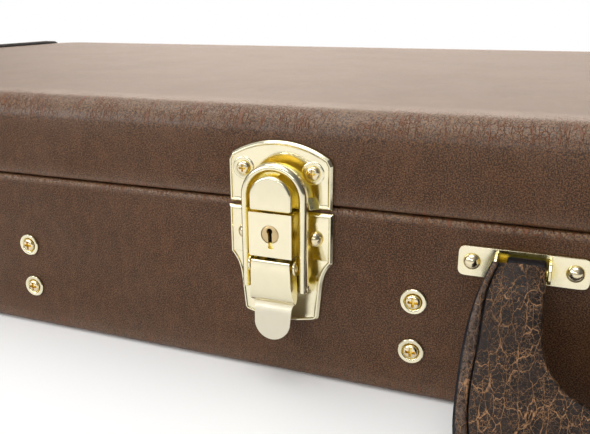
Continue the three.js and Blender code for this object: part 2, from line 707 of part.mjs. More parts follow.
function addInside() {
  const tongueOut = WALL + FIT;
  const tongueIn = tongueOut + TONGUE;
  const liningOut = tongueIn + FIT;
  const liningIn = liningOut + LINING;
  const liningTop = TONGUE_TOP - 1;
  const tongue = ringBetween(tongueOut, tongueIn, FLOOR, TONGUE_TOP);
  place(base, "base_tongue", cut(tongue, ...boxDrillings()), PLYWOOD);
  const lining = loft([[liningOut, FLOOR], [liningOut, liningTop], [liningIn, liningTop],
    [liningIn, FLOOR + LINING]]);
  place(base, "base_lining", cut(lining, ...boxDrillings()), PLUSH);
  place(base, "body_padding", bodyPadding(), PLUSH);
  place(base, "neck_cradle", neckCradle(), PLUSH);
  place(base, "accessory_box", accessoryBox(), PLUSH);
  place(base, "accessory_lid", accessoryCover(), PLUSH);

  const ceiling = HEIGHT - WALL - FIT;
  const padIn = tongueOut + LINING;
  const padBottom = TONGUE_TOP + 1.5;
  place(lid, "lid_lining", loft([[tongueOut, ceiling], [tongueOut, padBottom], [padIn, padBottom],
    [padIn, ceiling - LID_PAD]]), PLUSH);
}

function addBoxScrews() {
  const { outer, seat, bore, rise } = CUP;
  const cup = [[bore, FIT], [outer, FIT], [outer - 0.4, 0.9], [outer - 1, rise], [seat, rise - 0.2],
    [bore, 0.5], [bore, FIT]];
  const { head, shank, reach, under, rim, crown } = BOX_SCREW;
  const screw = [[0, -reach], [shank, -reach], [shank, under], [head, rim], [head * 0.8, crown - 0.3],
    [0, crown]];
  let count = 0;
  BOX_WALL_X.forEach((x) => BOX_SCREW_Z.forEach((z) => {
    count += 1;
    place(base, `cup_washer_${count}`, turned(cup), BRASS, x, FRONT, z);
    place(base, `box_screw_${count}`, turned(screw), BRASS, x, FRONT, z);
  }));
}

// ---------------------------------------------------------------- hinges and feet

const HINGE = {
  half: 26, leaf: 22, sheet: 1.2, out: 3.6, barrel: 3, pinRadius: 1.3, bore: 1.65, middle: 12, gap: 0.4,
};

// One leaf on the back face. Turn is -1 for the base's leaf, with the outer barrels and the pin, and 1 for
// the lid's leaf, whose barrel turns on that pin.
function hingeLeaf(turn) {
  const { half, out, barrel, pinRadius, bore, sheet, middle, gap, leaf } = HINGE;
  const spans = turn < 0 ? [[-half, -middle - gap], [middle + gap, half]] : [[-middle, middle]];
  const plate = box(-half, half, FIT, FIT + sheet, ...mirrored(turn, barrel + 2 * gap, leaf));
  const barrels = spans.flatMap(([x0, x1]) => [
    box(x0, x1, FIT, FIT + sheet, ...mirrored(turn, 0, barrel + 2)),
    rod("x", barrel, x1 - x0, (x0 + x1) / 2, out, 0),
  ]);
  const joined = join(plate, ...barrels);
  if (turn < 0) return join(joined, rod("x", pinRadius, 2 * half + 1, 0, out, 0));
  return cut(joined, rod("x", bore, 2 * half, 0, out, 0));
}

function addHinges() {
  HINGE_X.forEach((x, i) => {
    const name = `hinge_${i + 1}`;
    place(base, `${name}_base_leaf`, hingeLeaf(-1), BRASS, x, BACK, SPLIT);
    place(lid, `${name}_lid_leaf`, hingeLeaf(1), BRASS, x, BACK, SPLIT);
  });
}

const FOOT = {
  radius: 8.5, skirt: 2.5, shoulder: [7.4, 6.5], endRadius: 4.8, height: 9, baseZ: 22, lidZ: 87.5,
};

// Feet with flat ends on the back, which the case stands on when it is upright.
function addFeet() {
  const { radius, skirt, shoulder, endRadius, height, baseZ, lidZ } = FOOT;
  const profile = [[0, FIT], [radius, FIT], [radius, skirt], shoulder, [endRadius, height], [0, height]];
  const foot = () => turned(profile).rotateZ(Math.PI);
  SIDES.forEach(([side, sign]) => {
    place(base, `foot_base_${side}`, foot(), BRASS, sign * FOOT_X, BACK, baseZ);
    place(lid, `foot_lid_${side}`, foot(), BRASS, sign * FOOT_X, BACK, lidZ);
  });
}

addBaseShell();
addLidShell();
addInside();
addKeyLatch();
["left", "centre", "right"].forEach(addPlainLatch);
addHandle();
addBoxScrews();
addHinges();
addFeet();

const guitarCase = new THREE.Group();
guitarCase.add(base, lid);
export default guitarCase;
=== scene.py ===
import json
import math

import bmesh
import bpy
from mathutils import Matrix, Vector, noise

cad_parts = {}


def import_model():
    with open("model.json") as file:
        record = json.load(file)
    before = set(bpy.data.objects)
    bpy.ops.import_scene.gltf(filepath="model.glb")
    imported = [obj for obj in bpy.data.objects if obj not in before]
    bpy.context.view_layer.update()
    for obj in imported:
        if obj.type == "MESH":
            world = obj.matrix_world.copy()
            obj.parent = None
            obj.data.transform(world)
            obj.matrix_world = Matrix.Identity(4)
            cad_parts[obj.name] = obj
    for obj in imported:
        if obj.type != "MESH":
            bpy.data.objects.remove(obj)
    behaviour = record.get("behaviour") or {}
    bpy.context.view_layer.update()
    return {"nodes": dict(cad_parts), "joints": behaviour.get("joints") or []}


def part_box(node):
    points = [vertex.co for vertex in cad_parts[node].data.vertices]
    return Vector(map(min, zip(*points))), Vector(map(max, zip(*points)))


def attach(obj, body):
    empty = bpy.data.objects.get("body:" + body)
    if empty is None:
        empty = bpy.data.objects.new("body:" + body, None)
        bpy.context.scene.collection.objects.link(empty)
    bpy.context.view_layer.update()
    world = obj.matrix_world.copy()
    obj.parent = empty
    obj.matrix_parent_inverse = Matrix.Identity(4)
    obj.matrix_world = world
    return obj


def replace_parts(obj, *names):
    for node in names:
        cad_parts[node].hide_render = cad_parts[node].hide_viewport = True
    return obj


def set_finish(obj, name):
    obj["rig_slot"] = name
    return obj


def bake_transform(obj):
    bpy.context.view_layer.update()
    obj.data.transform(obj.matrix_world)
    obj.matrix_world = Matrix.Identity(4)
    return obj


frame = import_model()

# A hard-shell guitar case, lying shut. Lengths are millimetres unless a name ends in _M. Height z is above
# the floor, and a level is a distance out from the case's front face, along -Y.

MM = 0.001


class Span:
    """A CAD node's box, in millimetres."""

    def __init__(self, node):
        low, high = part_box(node)
        self.x0, self.y0, self.z0 = low / MM
        self.x1, self.y1, self.z1 = high / MM
        self.x = (self.x0 + self.x1) / 2
        self.z = (self.z0 + self.z1) / 2
        self.half = (self.x1 - self.x0) / 2


# ---------------- driving dimensions

PIVOT = {joint["name"]: Vector(joint.get("pos_m", (0, 0, 0))) / MM for joint in frame["joints"]}
SIDES = (("left", -1), ("right", 1))

LID = Span("lid_covering")
BASE = Span("base_covering")
LENGTH = LID.x1 - LID.x0
WIDTH = LID.y1 - LID.y0
FRONT = LID.y0
BACK = LID.y1
HEIGHT = Span("lid_shell").z1 + 1.3  # the flat top of the leatherette
CORNER = 28
LID_ROLL = 11
BASE_ROLL = 3.5
COVER = 1.2  # thickness of the leatherette
RIM_WIDTH = 7
FLAT_INSET = 60  # where the flat faces start, inside the rolls
PIPING_RADIUS = 3.0
PIPING_SHORT = 4  # how far before the back corner the end cords stop

CUP_LIFT = 0.25
LATCHES = ("left", "key", "centre", "right")
STRIKE = Span("key_latch_strike_plate")
FOOT_PLATE = Span("key_latch_base_plate")
HOOK = Span("key_latch_hook")
HOUSING = Span("key_latch_lock_housing")
BAIL = Span("key_latch_bail")
LEVER = Span("key_latch_lever")
PLUG = Span("key_latch_lock_plug")
PLATE_LOW = 0.2
PLATE_EDGE = 1.1
PLATE_TOP = 1.2  # where parts on the plates start
STRIKE_CROWN = 6.6  # rise of the strike plate's arched top
PLATFORM_HALF = 13.4
PLATFORM_TOP_HALF = 11.6
PLATFORM_LEVEL = 4.4
STRIKE_SCREWS = ((-14.6, 85.9), (13.4, 85.9))
FOOT_TOP = 70.8
FOOT_LOW = 24.3
RIVET_OUT = 14.2
RIVET_Z = 60.6
BAIL_TIP = 83.9
BAIL_HALF = 13.2
BAIL_STRIP = 3.3
BAIL_LEVEL = 5.8
BAIL_THICK = 3.2
LEVER_HALF = 8.05
TAB_HALF = 7.45
CREASE_Z = 35  # below it the lever is a satin tab
EAR_INSIDE = 8.6
EAR_OUTSIDE = 9.6

HANDLE_TILT = 40
GRIP_OUTER = 79.5
GRIP_DROP = 72
GRIP_WINDOW = 43
GRIP_CORNER = 22
GRIP_HALF_THICK = 8.4
LEG_OUTER = 73.6
LEG_INNER = 56.4
LEG_DOWN = 40  # where the leg meets the grip's corner
EDGE_ROLL = 5.6  # width of the edge roll outside the seam
EDGE_ROLL_TOP = 2.4  # the same at the bracket
LOOP_HALF = 6.3
LOOP_RADIUS = 4.5
BRACKET_WINDOW = 8.1
BRACKET_HALF_TALL = 5.45
BRACKET_RIVET_OUT = 16.8

LINING = Span("base_lining")
LID_LINING = Span("lid_lining")
TONGUE = Span("base_tongue")
PADDING = Span("body_padding")
CRADLE = Span("neck_cradle")
BOX = Span("accessory_box")
BOX_COVER = Span("accessory_lid")
FLOOR_TOP = PADDING.z0
SHEET = 2.0  # lining thickness
BOX_WALL = 8
BOX_BACK_WALL = 6
NECK_NOTCH = 31
RIBBON_WIDTH = 16
RIBBON_FOLDS = 48
WELL = (
    ((66, 60), (62, 150), (140, 150)),  # upper bout
    ((215, 150), (225, 122), (285, 122)),  # waist
    ((350, 122), (345, 163), (420, 163)),  # lower bout
    ((495, 163), (512, 80), (512, 0)),  # tail
)

HINGE_HALF = 26
HINGE_BARREL = 3
HINGE_KNUCKLE = 12
HINGE_GAP = 0.3
HINGE_CORNER = 4

CAMERA_PLACE = (-60.6, -413.4, 144.9)
CAMERA_YAW = 21.0
CAMERA_PITCH = 17.66
CAMERA_ROLL = 0.26
CAMERA_LENS = 40.7
FLOOR_HALF = 12000
FLOOR_DROP = 0.3
LIGHTS_M = (
    ("overhead", (-0.5, -0.3, 1.9), (-0.1, -0.1, 0.05), (2.2, 1.4), 23),
    ("roll_strip", (-0.7, -1.5, 0.66), (-0.1, -0.19, 0.1), (2.2, 0.1), 6.5),
    ("left_fill", (-0.85, -0.75, 0.5), (-0.15, -0.19, 0.05), (0.5, 0.6), 1.9),
)

# ---------------- materials


class Nodes:
    """Short calls that add nodes to a tree. An input is given a number, a colour or another node's output."""

    def __init__(self, tree):
        self.tree = tree

    def give(self, node, key, value):
        if isinstance(value, bpy.types.NodeSocket):
            self.tree.links.new(value, node.inputs[key])
        else:
            node.inputs[key].default_value = (*value, 1.0) if isinstance(value, tuple) else value

    def made(self, kind, output, inputs, **settings):
        """The named output of a new node."""
        node = self.tree.nodes.new(kind)
        for key, value in settings.items():
            setattr(node, key, value)
        for key, value in inputs.items():
            self.give(node, key, value)
        return node.outputs[output]

    def maths(self, operation, a, b):
        return self.made("ShaderNodeMath", "Value", {0: a, 1: b}, operation=operation)

    def times(self, a, b):
        return self.maths("MULTIPLY", a, b)

    def fade(self, source, start, end, low=0.0, high=1.0):
        """Smoothly from low to high as the source goes from start to end."""
        inputs = {"Value": source, "From Min": start, "From Max": end, "To Min": low, "To Max": high}
        return self.made("ShaderNodeMapRange", "Result", inputs, interpolation_type="SMOOTHSTEP")

    def mix(self, factor, a, b):
        return self.made("ShaderNodeMix", "Result", {"Factor": factor, "A": a, "B": b}, data_type="RGBA")


class Shader(Nodes):
    """A Principled material, with its texture space in millimetres."""

    def __init__(self, name, roughness, metallic=0.0):
        self.material = bpy.data.materials.new(name)
        self.material.use_nodes = True
        super().__init__(self.material.node_tree)
        self.bsdf = self.tree.nodes["Principled BSDF"]
        self.set("Roughness", roughness)
        self.set("Metallic", metallic)
        self.place = self.stretch((1, 1, 1))

    def set(self, key, value):
        self.give(self.bsdf, key, value)

    def stretch(self, factors):
        """The texture space, with its features shorter along an axis whose factor is higher."""
        mapping = self.tree.nodes.new("ShaderNodeMapping")
        mapping.inputs["Scale"].default_value = [factor / MM for factor in factors]
        self.give(mapping, "Vector", self.made("ShaderNodeTexCoord", "Object", {}))
        return mapping.outputs["Vector"]

    def noise(self, size, detail=3.0, roughness=0.55, place=None, distortion=0.0):
        inputs = {"Vector": place or self.place, "Scale": 1 / size, "Detail": detail}
        inputs |= {"Roughness": roughness, "Distortion": distortion}
        return self.made("ShaderNodeTexNoise", "Fac", inputs)

    def cracks(self, size, place):
        """Distance from the edges of random cells."""
        inputs = {"Vector": place, "Scale": 1 / size}
        return self.made("ShaderNodeTexVoronoi", "Distance", inputs, feature="DISTANCE_TO_EDGE")

    def warped(self, size, amount, place=None):
        """The texture space pushed about by noise."""
        place = place or self.place
        push = self.made("ShaderNodeTexNoise", "Color", {"Vector": place, "Scale": 1 / size})
        push = self.made("ShaderNodeVectorMath", "Vector", {0: push, "Scale": amount}, operation="SCALE")
        return self.made("ShaderNodeVectorMath", "Vector", {0: place, 1: push}, operation="ADD")

    def mask(self, name):
        return self.made("ShaderNodeAttribute", "Fac", {}, attribute_name=name)

    def bump(self, height, distance, strength=1.0, below=None):
        """Raises the surface by up to a distance, on top of another bump if one is given."""
        inputs = {"Height": height, "Distance": distance * MM, "Strength": strength}
        if below:
            inputs["Normal"] = below
        normal = self.made("ShaderNodeBump", "Normal", inputs)
        self.set("Normal", normal)
        return normal


def shade(tint, factor):
    return tuple(c * factor for c in tint)


def leatherette_material():
    """Dark brown grained leatherette, rubbed to tan and creased to rust where the wear mask is high."""
    s = Shader("leatherette", 0.5)
    wear = s.mask("wear")
    speck = s.noise(0.5, 2, 0.7)
    grit = s.noise(0.62, 3, 0.75)
    tone = s.mix(s.fade(s.noise(45, 3), 0.35, 0.68), (0.052, 0.021, 0.009), (0.075, 0.032, 0.015))
    stains = (
        (s.noise(4, 4, 0.6, s.stretch((1, 0.45, 0.45))), 0.42, 0.66, 0.6, (0.108, 0.046, 0.02)),
        (s.noise(9, 4, 0.7), 0.44, 0.62, 0.45, (0.036, 0.015, 0.008)),
        (speck, 0.48, 0.62, 0.85, (0.17, 0.084, 0.038)),
        (speck, 0.5, 0.38, 0.9, (0.016, 0.009, 0.006)),
    )
    for source, start, end, strength, tint in stains:
        tone = s.mix(s.fade(source, start, end, 0, strength), tone, tint)
    rubbed = (0.44, 0.56, 0.7, (0.27, 0.15, 0.072))
    pitted = (0.47, 0.38, 0.9, (0.03, 0.017, 0.01))
    for start, end, strength, tint in (rubbed, pitted):
        tone = s.mix(s.times(s.times(wear, s.fade(grit, start, end)), strength), tone, tint)
    splits = s.fade(s.noise(1.5, 3, 0.6, s.stretch((1, 0.16, 0.16)), 0.8), 0.56, 0.62)
    splits = s.times(splits, s.fade(s.noise(40, 2), 0.42, 0.56))
    crackle = s.fade(s.cracks(2.1, s.warped(1.5, 1.6, s.stretch((1, 0.6, 0.6)))), 0.0, 0.07, 1, 0)
    crackle = s.times(crackle, s.fade(s.noise(17, 2), 0.4, 0.56))
    crease = s.times(s.maths("MAXIMUM", splits, crackle), s.fade(wear, 0.02, 0.5))
    s.set("Base Color", s.mix(s.times(crease, 0.85), tone, (0.15, 0.045, 0.012)))
    s.set("Roughness", s.fade(speck, 0.3, 0.7, 0.34, 0.5))
    polish = s.fade(s.noise(38, 4, 0.65, distortion=0.5), 0.36, 0.62, 0.82, 1.04)
    s.set("Specular IOR Level", s.times(s.fade(wear, 0.02, 0.3, 0.22, 0.5), polish))
    pebbles = s.bump(s.cracks(0.9, s.warped(1.2, 0.5)), 0.1, 0.5)
    wrinkled = s.bump(crease, 0.3, 0.8, pebbles)
    grained = s.bump(speck, 0.1, 0.6, wrinkled)
    s.bump(s.noise(26, 4, 0.6, distortion=0.6), 0.5, 0.35, grained)
    return s.material


def dark_leather_material(name, veins):
    """Near-black brown leather. Veins is how strongly tan shows in its cracks. The ink mask is black edge
    dye, and the crown mask a grey edge that is part wear and part painted highlight."""
    s = Shader(name, 0.42)
    ink = s.mask("ink")
    long_cells = s.stretch((1, 0.4, 0.4))
    coarse = s.fade(s.cracks(3.4, s.warped(2.6, 2.2, long_cells)), 0.0, 0.035, 1, 0)
    middle = s.fade(s.cracks(2.6, s.warped(1.3, 1.5)), 0.0, 0.035, 1, 0)
    fine = s.fade(s.cracks(1.3, s.warped(0.8, 0.9)), 0.0, 0.06, 1, 0)
    web = s.maths("MAXIMUM", coarse, s.times(middle, s.fade(s.noise(7, 3), 0.32, 0.55, 0.2, 0.9)))
    web = s.maths("MAXIMUM", web, s.times(fine, s.fade(s.noise(6, 3), 0.4, 0.6, 0.1, 0.8)))
    worn = s.times(web, s.fade(s.noise(13, 3), 0.32, 0.58, 0.4, 1))
    broken = s.times(worn, s.fade(s.noise(0.6, 3, 0.75), 0.34, 0.54, 0.2, 1))
    tone = s.mix(s.fade(s.noise(5, 4, 0.65), 0.35, 0.65), (0.006, 0.004, 0.0035), (0.02, 0.012, 0.009))
    tone = s.mix(s.fade(s.noise(0.6, 3), 0.52, 0.68, 0, 0.5), tone, (0.045, 0.027, 0.018))
    # partly painted highlight, partly wear: the crown of the handle's edge roll is painted grey
    crown = s.times(s.mask("crown"), s.fade(s.noise(1.1, 4, 0.7), 0.35, 0.65))
    tone = s.mix(crown, tone, (0.11, 0.078, 0.062))
    strength = s.times(s.times(broken, veins), s.maths("SUBTRACT", 1.0, ink))
    tone = s.mix(strength, tone, (0.38, 0.2, 0.095))
    s.set("Base Color", s.mix(s.fade(ink, 0.3, 0.9), tone, (0.005, 0.005, 0.008)))
    s.set("Roughness", s.fade(s.noise(3, 3), 0.3, 0.7, 0.36, 0.55))
    s.set("Specular IOR Level", 0.2)
    folds = s.bump(s.maths("SUBTRACT", 1.0, web), 0.22, 0.7)
    s.bump(s.noise(0.45, 3), 0.06, 0.5, folds)
    return s.material


def metal_material(name, tint, roughness):
    """Polished plated metal, satin under its own mask; painted amber reflection and shade, and duller, in
    recesses and under the deep mask.
    """
    s = Shader(name, roughness, 1.0)
    reach = 5.5  # how near another surface must be to count as a recess
    smudge = s.noise(6, 4, 0.6)
    satin = s.mask("satin")
    # painted shade and reflection: hollows near other surfaces, and the deep mask, are coloured darker amber
    # and made duller
    open_sky = s.made("ShaderNodeAmbientOcclusion", "AO", {"Distance": reach * MM}, samples=6)
    recess = s.maths("MAXIMUM", s.fade(open_sky, 0.32, 0.82, 1, 0), s.mask("deep"))
    plain = s.mix(s.fade(smudge, 0.3, 0.75, 0, 0.22), tint, shade(tint, 0.86))
    plain = s.mix(recess, plain, (tint[0] * 1.08, tint[1] * 0.93, tint[2] * 0.2))
    s.set("Base Color", s.mix(satin, plain, (0.68, 0.63, 0.5)))
    dull = s.maths("ADD", s.fade(smudge, 0.35, 0.75, roughness, roughness * 2.0), s.times(recess, 0.22))
    s.set("Roughness", s.maths("ADD", dull, s.times(satin, 0.3)))
    s.bump(s.noise(0.5, 2, place=s.stretch((1, 1, 0.06))), 0.004, 0.25)
    return s.material


def plush_material(name, deep, pale):
    """Short-pile plush: brushed patches, fine pile and a pale sheen at grazing angles."""
    s = Shader(name, 0.9)
    pile = s.noise(0.5, 3, 0.7)
    tone = s.mix(s.fade(s.noise(26, 4, 0.6, distortion=0.6), 0.36, 0.64), deep, pale)
    s.set("Base Color", s.mix(s.fade(pile, 0.35, 0.7, 0, 0.45), tone, shade(pale, 1.5)))
    s.set("Sheen Weight", 0.7)
    s.set("Sheen Roughness", 0.35)
    s.set("Sheen Tint", shade(pale, 4))
    s.bump(pile, 0.35, 0.7)
    return s.material


def plywood_material():
    s = Shader("plywood", 0.7)
    grain = s.noise(3, 4, place=s.stretch((0.08, 1, 1)))
    s.set("Base Color", s.mix(s.fade(grain, 0.3, 0.7), (0.42, 0.26, 0.13), (0.62, 0.43, 0.25)))
    s.bump(grain, 0.1, 0.5)
    return s.material


def woven_material(name, deep, pale):
    """Narrow woven tape with a rib every millimetre."""
    s = Shader(name, 0.75)
    ribs = s.made("ShaderNodeTexWave", "Fac", {"Vector": s.place, "Scale": 0.32}, bands_direction="X")
    s.set("Base Color", s.mix(ribs, deep, pale))
    s.bump(ribs, 0.3, 0.6)
    return s.material


def floor_material():
    """White paper near the case, turning to plain light further off, so that it meets the backdrop unseen."""
    s = Shader("floor", 0.7)
    s.set("Base Color", s.mix(s.noise(900, 2), (0.93, 0.93, 0.925), (0.96, 0.96, 0.955)))
    away = s.made("ShaderNodeVectorMath", "Value", {0: s.stretch((0.55, 1, 0))}, operation="LENGTH")
    light = s.made("ShaderNodeEmission", "Emission", {})
    sides = {"Fac": s.fade(away, 330, 620), 1: s.bsdf.outputs["BSDF"], 2: light}
    s.give(s.tree.nodes["Material Output"], "Surface", s.made("ShaderNodeMixShader", "Shader", sides))
    return s.material


LEATHERETTE = leatherette_material()
HANDLE_LEATHER = dark_leather_material("handle_leather", 0.95)
PIPING_LEATHER = dark_leather_material("piping_leather", 0.12)
BRASS = metal_material("brass_plate", (0.79, 0.73, 0.53), 0.1)
BRASS_WORN = metal_material("brass_fastener", (0.76, 0.66, 0.45), 0.14)
BRONZE = metal_material("lock_bronze", (0.6, 0.45, 0.24), 0.28)
SHADOW = metal_material("dark_recess", (0.03, 0.022, 0.015), 0.6)
PLUSH = plush_material("plush", (0.095, 0.046, 0.025), (0.15, 0.075, 0.041))
PLYWOOD = plywood_material()
RIBBON = woven_material("ribbon", (0.05, 0.025, 0.015), (0.13, 0.07, 0.04))

SLOTS = {
    LEATHERETTE: "leatherette",
    HANDLE_LEATHER: "handle_leather",
    PIPING_LEATHER: "handle_leather",
    BRASS: "brass_plate",
    BRASS_WORN: "brass_plate",
    BRONZE: "lock_bronze",
    SHADOW: "lock_bronze",
    PLUSH: "plush",
    PLYWOOD: "plywood",
    RIBBON: "plush",
}

# ---------------- mesh building


def piece(name, solid, body, material, **masks):
    """A smooth-shaded mesh in millimetres that rides on a body. Masks are point attributes from 0 to 1."""
    vertices, faces = solid
    mesh = bpy.data.meshes.new(name)
    mesh.from_pydata([Vector(v) * MM for v in vertices], [], faces)
    for key, values in masks.items():
        values = values if isinstance(values, list) else [values] * len(vertices)
        mesh.attributes.new(key, "FLOAT", "POINT").data.foreach_set("value", values)
    fixed = bmesh.new()
    fixed.from_mesh(mesh)
    bmesh.ops.recalc_face_normals(fixed, faces=fixed.faces)
    fixed.to_mesh(mesh)
    fixed.free()
    mesh.polygons.foreach_set("use_smooth", [True] * len(mesh.polygons))
    mesh.set_sharp_from_angle(angle=math.radians(40))
    mesh.materials.append(material)
    obj = bpy.data.objects.new(name, mesh)
    bpy.context.scene.collection.objects.link(obj)
    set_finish(obj, SLOTS[material])
    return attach(obj, body) if body else obj


def bevelled(obj, width, segments=3, angle=35):
    made = obj.modifiers.new("bevel", "BEVEL")
    made.width = width * MM
    made.segments = segments
    made.limit_method = "ANGLE"
    made.angle_limit = math.radians(angle)
    made.harden_normals = True
    made.use_clamp_overlap = True
    return obj


def baked(obj):
    """Applies the object's modifiers to its mesh."""
    graph = bpy.context.evaluated_depsgraph_get()
    result = bpy.data.meshes.new_from_object(obj.evaluated_get(graph))
    obj.modifiers.clear()
    obj.data = result


def carved(obj, *solids):
    """Cuts solids out of a piece."""
    for solid in solids:
        cutter = piece("cutter", solid, None, BRASS)
        made = obj.modifiers.new("cut", "BOOLEAN")
        made.object = cutter
        made.solver = "EXACT"
        bpy.context.view_layer.update()
        baked(obj)
        bpy.data.objects.remove(cutter)
    obj.data.set_sharp_from_angle(angle=math.radians(40))
    return obj


def twin(obj, name, dx, dz):
    """A copy of a piece of the base, sharing its mesh, moved along the case's front."""
    copy = bpy.data.objects.new(name, obj.data)
    bpy.context.scene.collection.objects.link(copy)
    copy.location = Vector((dx, 0, dz)) * MM
    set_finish(copy, obj["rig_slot"])
    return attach(copy, "base")


def arc(x, y, radius, start, end, steps):
    """Points of an arc. Angles are degrees from +x, anticlockwise."""
    angles = [math.radians(start + (end - start) * i / steps) for i in range(steps + 1)]
    return [(x + radius * math.cos(a), y + radius * math.sin(a)) for a in angles]


def curve(*controls, steps=10):
    """Points of a Bezier curve with any number of controls, without its last point."""
    points = []
    for i in range(steps):
        row = [Vector(c) for c in controls]
        while len(row) > 1:
            row = [a.lerp(b, i / steps) for a, b in zip(row, row[1:])]
        points.append(tuple(row[0]))
    return points


def oblong(x0, x1, y0, y1):
    return [(x0, y0), (x1, y0), (x1, y1), (x0, y1)]


def rounded(corners, radius, steps=6):
    """A polygon with its corners rounded."""
    points = []
    for i, corner in enumerate(corners):
        here = Vector(corner)
        before = Vector(corners[i - 1]) - here
        after = Vector(corners[(i + 1) % len(corners)]) - here
        reach = radius / math.tan(before.angle(after) / 2)
        start = here + before.normalized() * reach
        end = tuple(here + after.normalized() * reach)
        points += [*curve(tuple(start), corner, end, steps=steps), end]
    return points


def shrunk(outline, distance):
    """An anticlockwise outline moved inwards."""
    points = [Vector(point) for point in outline]
    moved = []
    for i, here in enumerate(points):
        before = (here - points[i - 1]).normalized()
        after = (points[(i + 1) % len(points)] - here).normalized()
        middle = (before + after).normalized()
        inward = Vector((-middle.y, middle.x))
        moved.append(tuple(here + inward * distance / max(middle.dot(after), 0.5)))
    return moved


def stacked(rings, closed=False):
    """Vertices and faces through rings with as many points each. The ends are capped, or joined if closed."""
    count = len(rings[0])
    vertices = [point for ring in rings for point in ring]
    faces = []
    for k in range(len(rings) if closed else len(rings) - 1):
        near, far = k * count, (k + 1) % len(rings) * count
        for i in range(count):
            j = (i + 1) % count
            faces.append((near + i, near + j, far + j, far + i))
    if not closed:
        faces.append(tuple(range(count))[::-1])
        faces.append(tuple(range(len(vertices) - count, len(vertices))))
    return vertices, faces


def merged(*solids):
    """Several (vertices, faces) pairs as one."""
    vertices, faces = [], []
    for more_vertices, more_faces in solids:
        faces += [tuple(i + len(vertices) for i in face) for face in more_faces]
        vertices += more_vertices
    return vertices, faces


def layered(x, *layers):
    """Front-view outlines of (x, z) points joined from level to level."""
    return stacked([[(x + px, FRONT - level, pz) for px, pz in outline] for outline, level in layers])


def facing(x, outline, low, high):
    return layered(x, (outline, low), (outline, high))


def sideways(outline, x0, x1):
    """A side-view outline of (z, level) points made solid across x."""
    return stacked([[(x, FRONT - level, pz) for pz, level in outline] for x in sorted((x0, x1))])


def upright(outline, z0, z1):
    """A plan-view outline made solid between two heights."""
    return stacked([[(x, y, z) for x, y in outline] for z in (z0, z1)])


def turned(profile, x, y, z, axis=(0, -1, 0), steps=32, ring=False):
    """A solid of revolution. Its profile, of (radius, distance along the axis), starts and ends on the axis,
    or is a closed loop clear of it for a ring."""
    turn = Vector((0, 0, 1)).rotation_difference(Vector(axis)).to_matrix()
    place = Vector((x, y, z))
    vertices, faces, rows = [], [], []
    for radius, reach in profile:
        count = steps if radius else 1
        rows.append([len(vertices) + i % count for i in range(steps)])
        for i in range(count):
            a = 2 * math.pi * i / steps
            vertices.append(place + turn @ Vector((radius * math.cos(a), radius * math.sin(a), reach)))
    for low, high in zip(rows, rows[1:] + rows[:1] if ring else rows[1:]):
        for i in range(steps):
            j = (i + 1) % steps
            corners = dict.fromkeys((low[i], low[j], high[j], high[i]))
            if len(corners) > 2:
                faces.append(tuple(corners))
    return vertices, faces


def rod(radius, half, x, y, z, steps):
    """A plain cylinder along x."""
    return turned([(0, -half), (radius, -half), (radius, half), (0, half)], x, y, z, (1, 0, 0), steps)


def swept(path, profile, up):
    """A (side, up) profile carried along a path, with mitred turns."""
    up = Vector(up)
    rings = []
    for i, point in enumerate(path):
        here = Vector(point)
        before = here - Vector(path[i - 1]) if i else None
        after = Vector(path[i + 1]) - here if i + 1 < len(path) else None
        before = (before or after).normalized()
        after = (after or before).normalized()
        along = (before + after).normalized()
        side = along.cross(up).normalized()
        widen = 1 / max(0.5, along.dot(after))
        rings.append([here + side * (a * widen) + up * b for a, b in profile])
    return stacked(rings)


def strap(path, width, thick, across):
    """Tape laid along a path, its width along a fixed direction."""
    side = Vector(across) * width / 2
    rings = []
    for i, point in enumerate(path):
        here = Vector(point)
        along = (Vector(path[min(i + 1, len(path) - 1)]) - Vector(path[max(i - 1, 0)])).normalized()
        up = along.cross(Vector(across)).normalized() * thick / 2
        rings.append([here - side - up, here + side - up, here + side + up, here - side + up])
    return stacked(rings)


# ---------------- case shell


def plan(inset, steps=14, straights=24):
    """The case's plan outline, inset, with points along its straight sides too."""
    x, y = LENGTH / 2 - inset, WIDTH / 2 - inset
    r = max(CORNER - inset, 2)
    centres = [(x - r, y - r), (r - x, y - r), (r - x, r - y), (x - r, r - y)]
    corners = [arc(px, py, r, 90 * i, 90 * i + 90, steps) for i, (px, py) in enumerate(centres)]
    points = []
    for i, corner in enumerate(corners):
        points += corner
        a, b = Vector(corner[-1]), Vector(corners[(i + 1) % 4][0])
        points += [tuple(a.lerp(b, k / straights)) for k in range(1, straights)]
    return points


def plan_rings(rows):
    """The plan at each row of (inset, height)."""
    return [[(x, y, row[1]) for x, y in plan(row[0])] for row in rows]


def quarter(inset, z, radius, turn, steps=8):
    """Rows of a rolled edge, from the flat face to the upright one. Turn is 1 rising and -1 falling."""
    angles = [math.pi / 2 * i / steps for i in range(steps + 1)]
    return [(inset + radius * (1 - math.sin(a)), z + turn * radius * (1 - math.cos(a))) for a in angles]


def shell(name, body, rows, node):
    """A skin through rows of (inset, height, wear)."""
    rings = plan_rings(rows)
    wear = [row[2] for row in rows for _ in rings[0]]
    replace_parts(piece(name, stacked(rings), body, LEATHERETTE, wear=wear), node)


